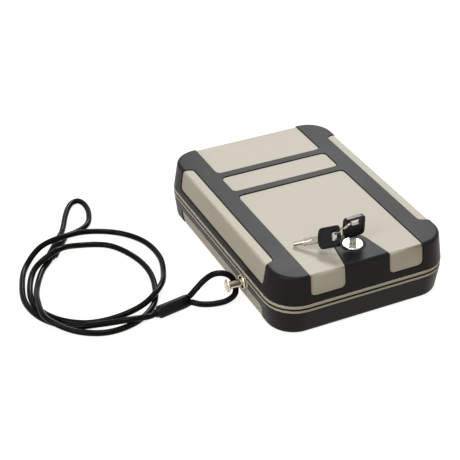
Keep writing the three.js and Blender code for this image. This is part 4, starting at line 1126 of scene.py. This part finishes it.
def grip_ribs(head, along):
    """Two rows of ribs across a head, set in its sunk faces, as one mesh with the head."""
    mesh = head.data
    facing = sum(face.area * np.outer(face.normal, face.normal) for face in mesh.polygons)
    broad = Vector(np.linalg.eigh(facing)[1][:, -1])
    across = along.cross(broad).normalized()
    axes = np.array([across, broad, along])
    spots = np.array([vertex.co for vertex in mesh.vertices]) @ axes.T
    low, high = spots.min(axis=0), spots.max(axis=0)
    centre = Vector(axes.T @ ((low + high) / 2))
    level = (high[1] - low[1]) / 2 / MM - HEAD_SINK - RIB_SINK
    profile = [(radius, -RIB_REACH - past) for radius, past in RIB_ENDS]
    profile += [(radius, RIB_REACH + past) for radius, past in reversed(RIB_ENDS)]
    build = bmesh.new()
    build.from_mesh(mesh)
    for side in (-1, 1):
        rib = turned("rib", profile, (0, 0, 0), (1, 0, 0), KEY_PLASTIC, sides=16)
        first = (0, side * level, RIB_LOW)
        ribs = in_row("ribs", rib, RIB_COUNT, first, (0, 0, RIB_STEP), KEY_PLASTIC)
        for vertex in ribs.data.vertices:
            x, y, z = vertex.co
            vertex.co = centre + across * x + broad * y + along * z
        build.from_mesh(ribs.data)
        bpy.data.objects.remove(ribs)
    build.to_mesh(mesh)
    build.free()
    mesh.shade_smooth()


KEY_PLASTIC = key_plastic()
KEY_PLATE = plated("key plate", (0.42, 0.385, 0.33), 0.24, 0.5)
for prefix, body, along in (("", "key", (0, 0, 1)), ("spare_", "spare_key", SPARE_ALONG)):
    refinished(f"{prefix}key_blade", f"{prefix}blade", body, "nickel", KEY_PLATE, 0.12)
    head = dressed(f"{prefix}key_head", f"{prefix}head", KEY_PLASTIC, 0.5, segments=3)
    grip_ribs(head, Vector(along).normalized())
    stands_for(head, body, "key_plastic", f"{prefix}key_head")


# ---- Key ring ----
# A split ring of spring wire in two coils, plated like the blades and put through the slots of
# both heads. Where one coil steps over to the other, its ends lie side by side.
RING_CENTRE = (-10.35, -93.09, 78.65)
RING_NORMAL = (0.352, -0.628, -0.684)
RING_RADIUS = 9
WIRE_RADIUS = 0.42
WIRE_SIDES = 14
CROSS_OVER = 0.24  # radians of turn, like the gap at each end
END_GAP = 0.12
COIL_STEPS = 192
COIL_PITCH = 1.05

normal = Vector(RING_NORMAL).normalized()
across = normal.orthogonal().normalized()
upward = normal.cross(across)
sweep = 4 * math.pi - 2 * CROSS_OVER - 2 * END_GAP
coils = []
for i in range(COIL_STEPS + 1):
    turn = CROSS_OVER + END_GAP + sweep * i / COIL_STEPS
    share = min(max((turn - 2 * math.pi) / CROSS_OVER, -1), 1)
    rise = WIRE_RADIUS * COIL_PITCH * math.sin(share * math.pi / 2)
    spot = across * math.cos(turn) + upward * math.sin(turn)
    coils.append((Vector(RING_CENTRE) + spot * RING_RADIUS + normal * rise) * MM)
ring = swept.made("ring", line_object(coils), Radius=WIRE_RADIUS * MM, Sides=WIRE_SIDES,
                  Material=KEY_PLATE)
stands_for(ring, "ring", "nickel", "key_ring")


# ---- Studio ----
# A white sheet of paper under a soft light over the back, a weaker one on the left and a small one
# above the front. The paper shows white to the lens and in bright metal, and keeps a faint shadow.
FLOOR_DROP = 0.3
FLOOR_REACH = 1.3
FLOOR_TONE = (0.42, 0.36, 0.30, 1)
PAPER_GLOW = 0.86
WORLD_LEVEL = 0.26
WORLD_TINT = (1.0, 0.88, 0.76, 1)
WHITE = (1, 1, 1, 1)
LAMPS = (  # name, place and width in metres, power in watts
    ("over the back", (1.6, 2.65, 2.9), 1.3, 88),
    ("left fill", (-1.5, -0.7, 1.1), 0.9, 13),
    ("over the front", (-0.2, -0.3, 1.7), 0.7, 8),
)


def seen_white(finish, level_seen, level_else):
    """A strength that differs for rays from the lens and off bright surfaces."""
    camera_ray, glossy_ray, clear_ray = (
        finish.node("ShaderNodeLightPath", {}, {}, f"Is {kind} Ray")
        for kind in ("Camera", "Glossy", "Transmission")
    )
    seen = (camera_ray + glossy_ray + clear_ray).limited()
    return seen * (level_seen - level_else) + level_else


paper = Finish("paper")
glow = paper.node("ShaderNodeEmission", {}, {"Strength": seen_white(paper, PAPER_GLOW, 0)})
matt = paper.node("ShaderNodeBsdfDiffuse", {}, {"Color": FLOOR_TONE})
both = paper.node("ShaderNodeAddShader", {}, [glow, matt])
paper.node("ShaderNodeOutputMaterial", {}, {"Surface": both})
low = -FLOOR_DROP * MM
reach = FLOOR_REACH
corners = [(-reach, -reach, low), (reach, -reach, low), (reach, reach, low), (-reach, reach, low)]
floor = mesh_object("paper", corners, [(0, 1, 2, 3)], paper.data)

air = Finish("studio", bpy.data.worlds)
bpy.context.scene.world = air.data
bounced = air.node("ShaderNodeLightPath", {}, {}, "Is Diffuse Ray")
sockets = {"Factor": bounced, "A": WHITE, "B": WORLD_TINT}
tint = air.node("ShaderNodeMix", {"data_type": "RGBA"}, sockets, "Result")
sockets = {"Color": tint, "Strength": seen_white(air, 1.0, WORLD_LEVEL)}
backdrop = air.node("ShaderNodeBackground", {}, sockets)
air.node("ShaderNodeOutputWorld", {}, {"Surface": backdrop})

for name, place, size, power in LAMPS:
    lamp_data = bpy.data.lights.new(name, "AREA")
    lamp_data.shape = "DISK"
    lamp_data.size = size
    lamp_data.energy = power
    lamp = placed(name, lamp_data)
    lamp.location = place
    lamp.rotation_euler = (-Vector(place)).to_track_quat("-Z", "Y").to_euler()

bpy.context.scene.view_settings.view_transform = "Standard"
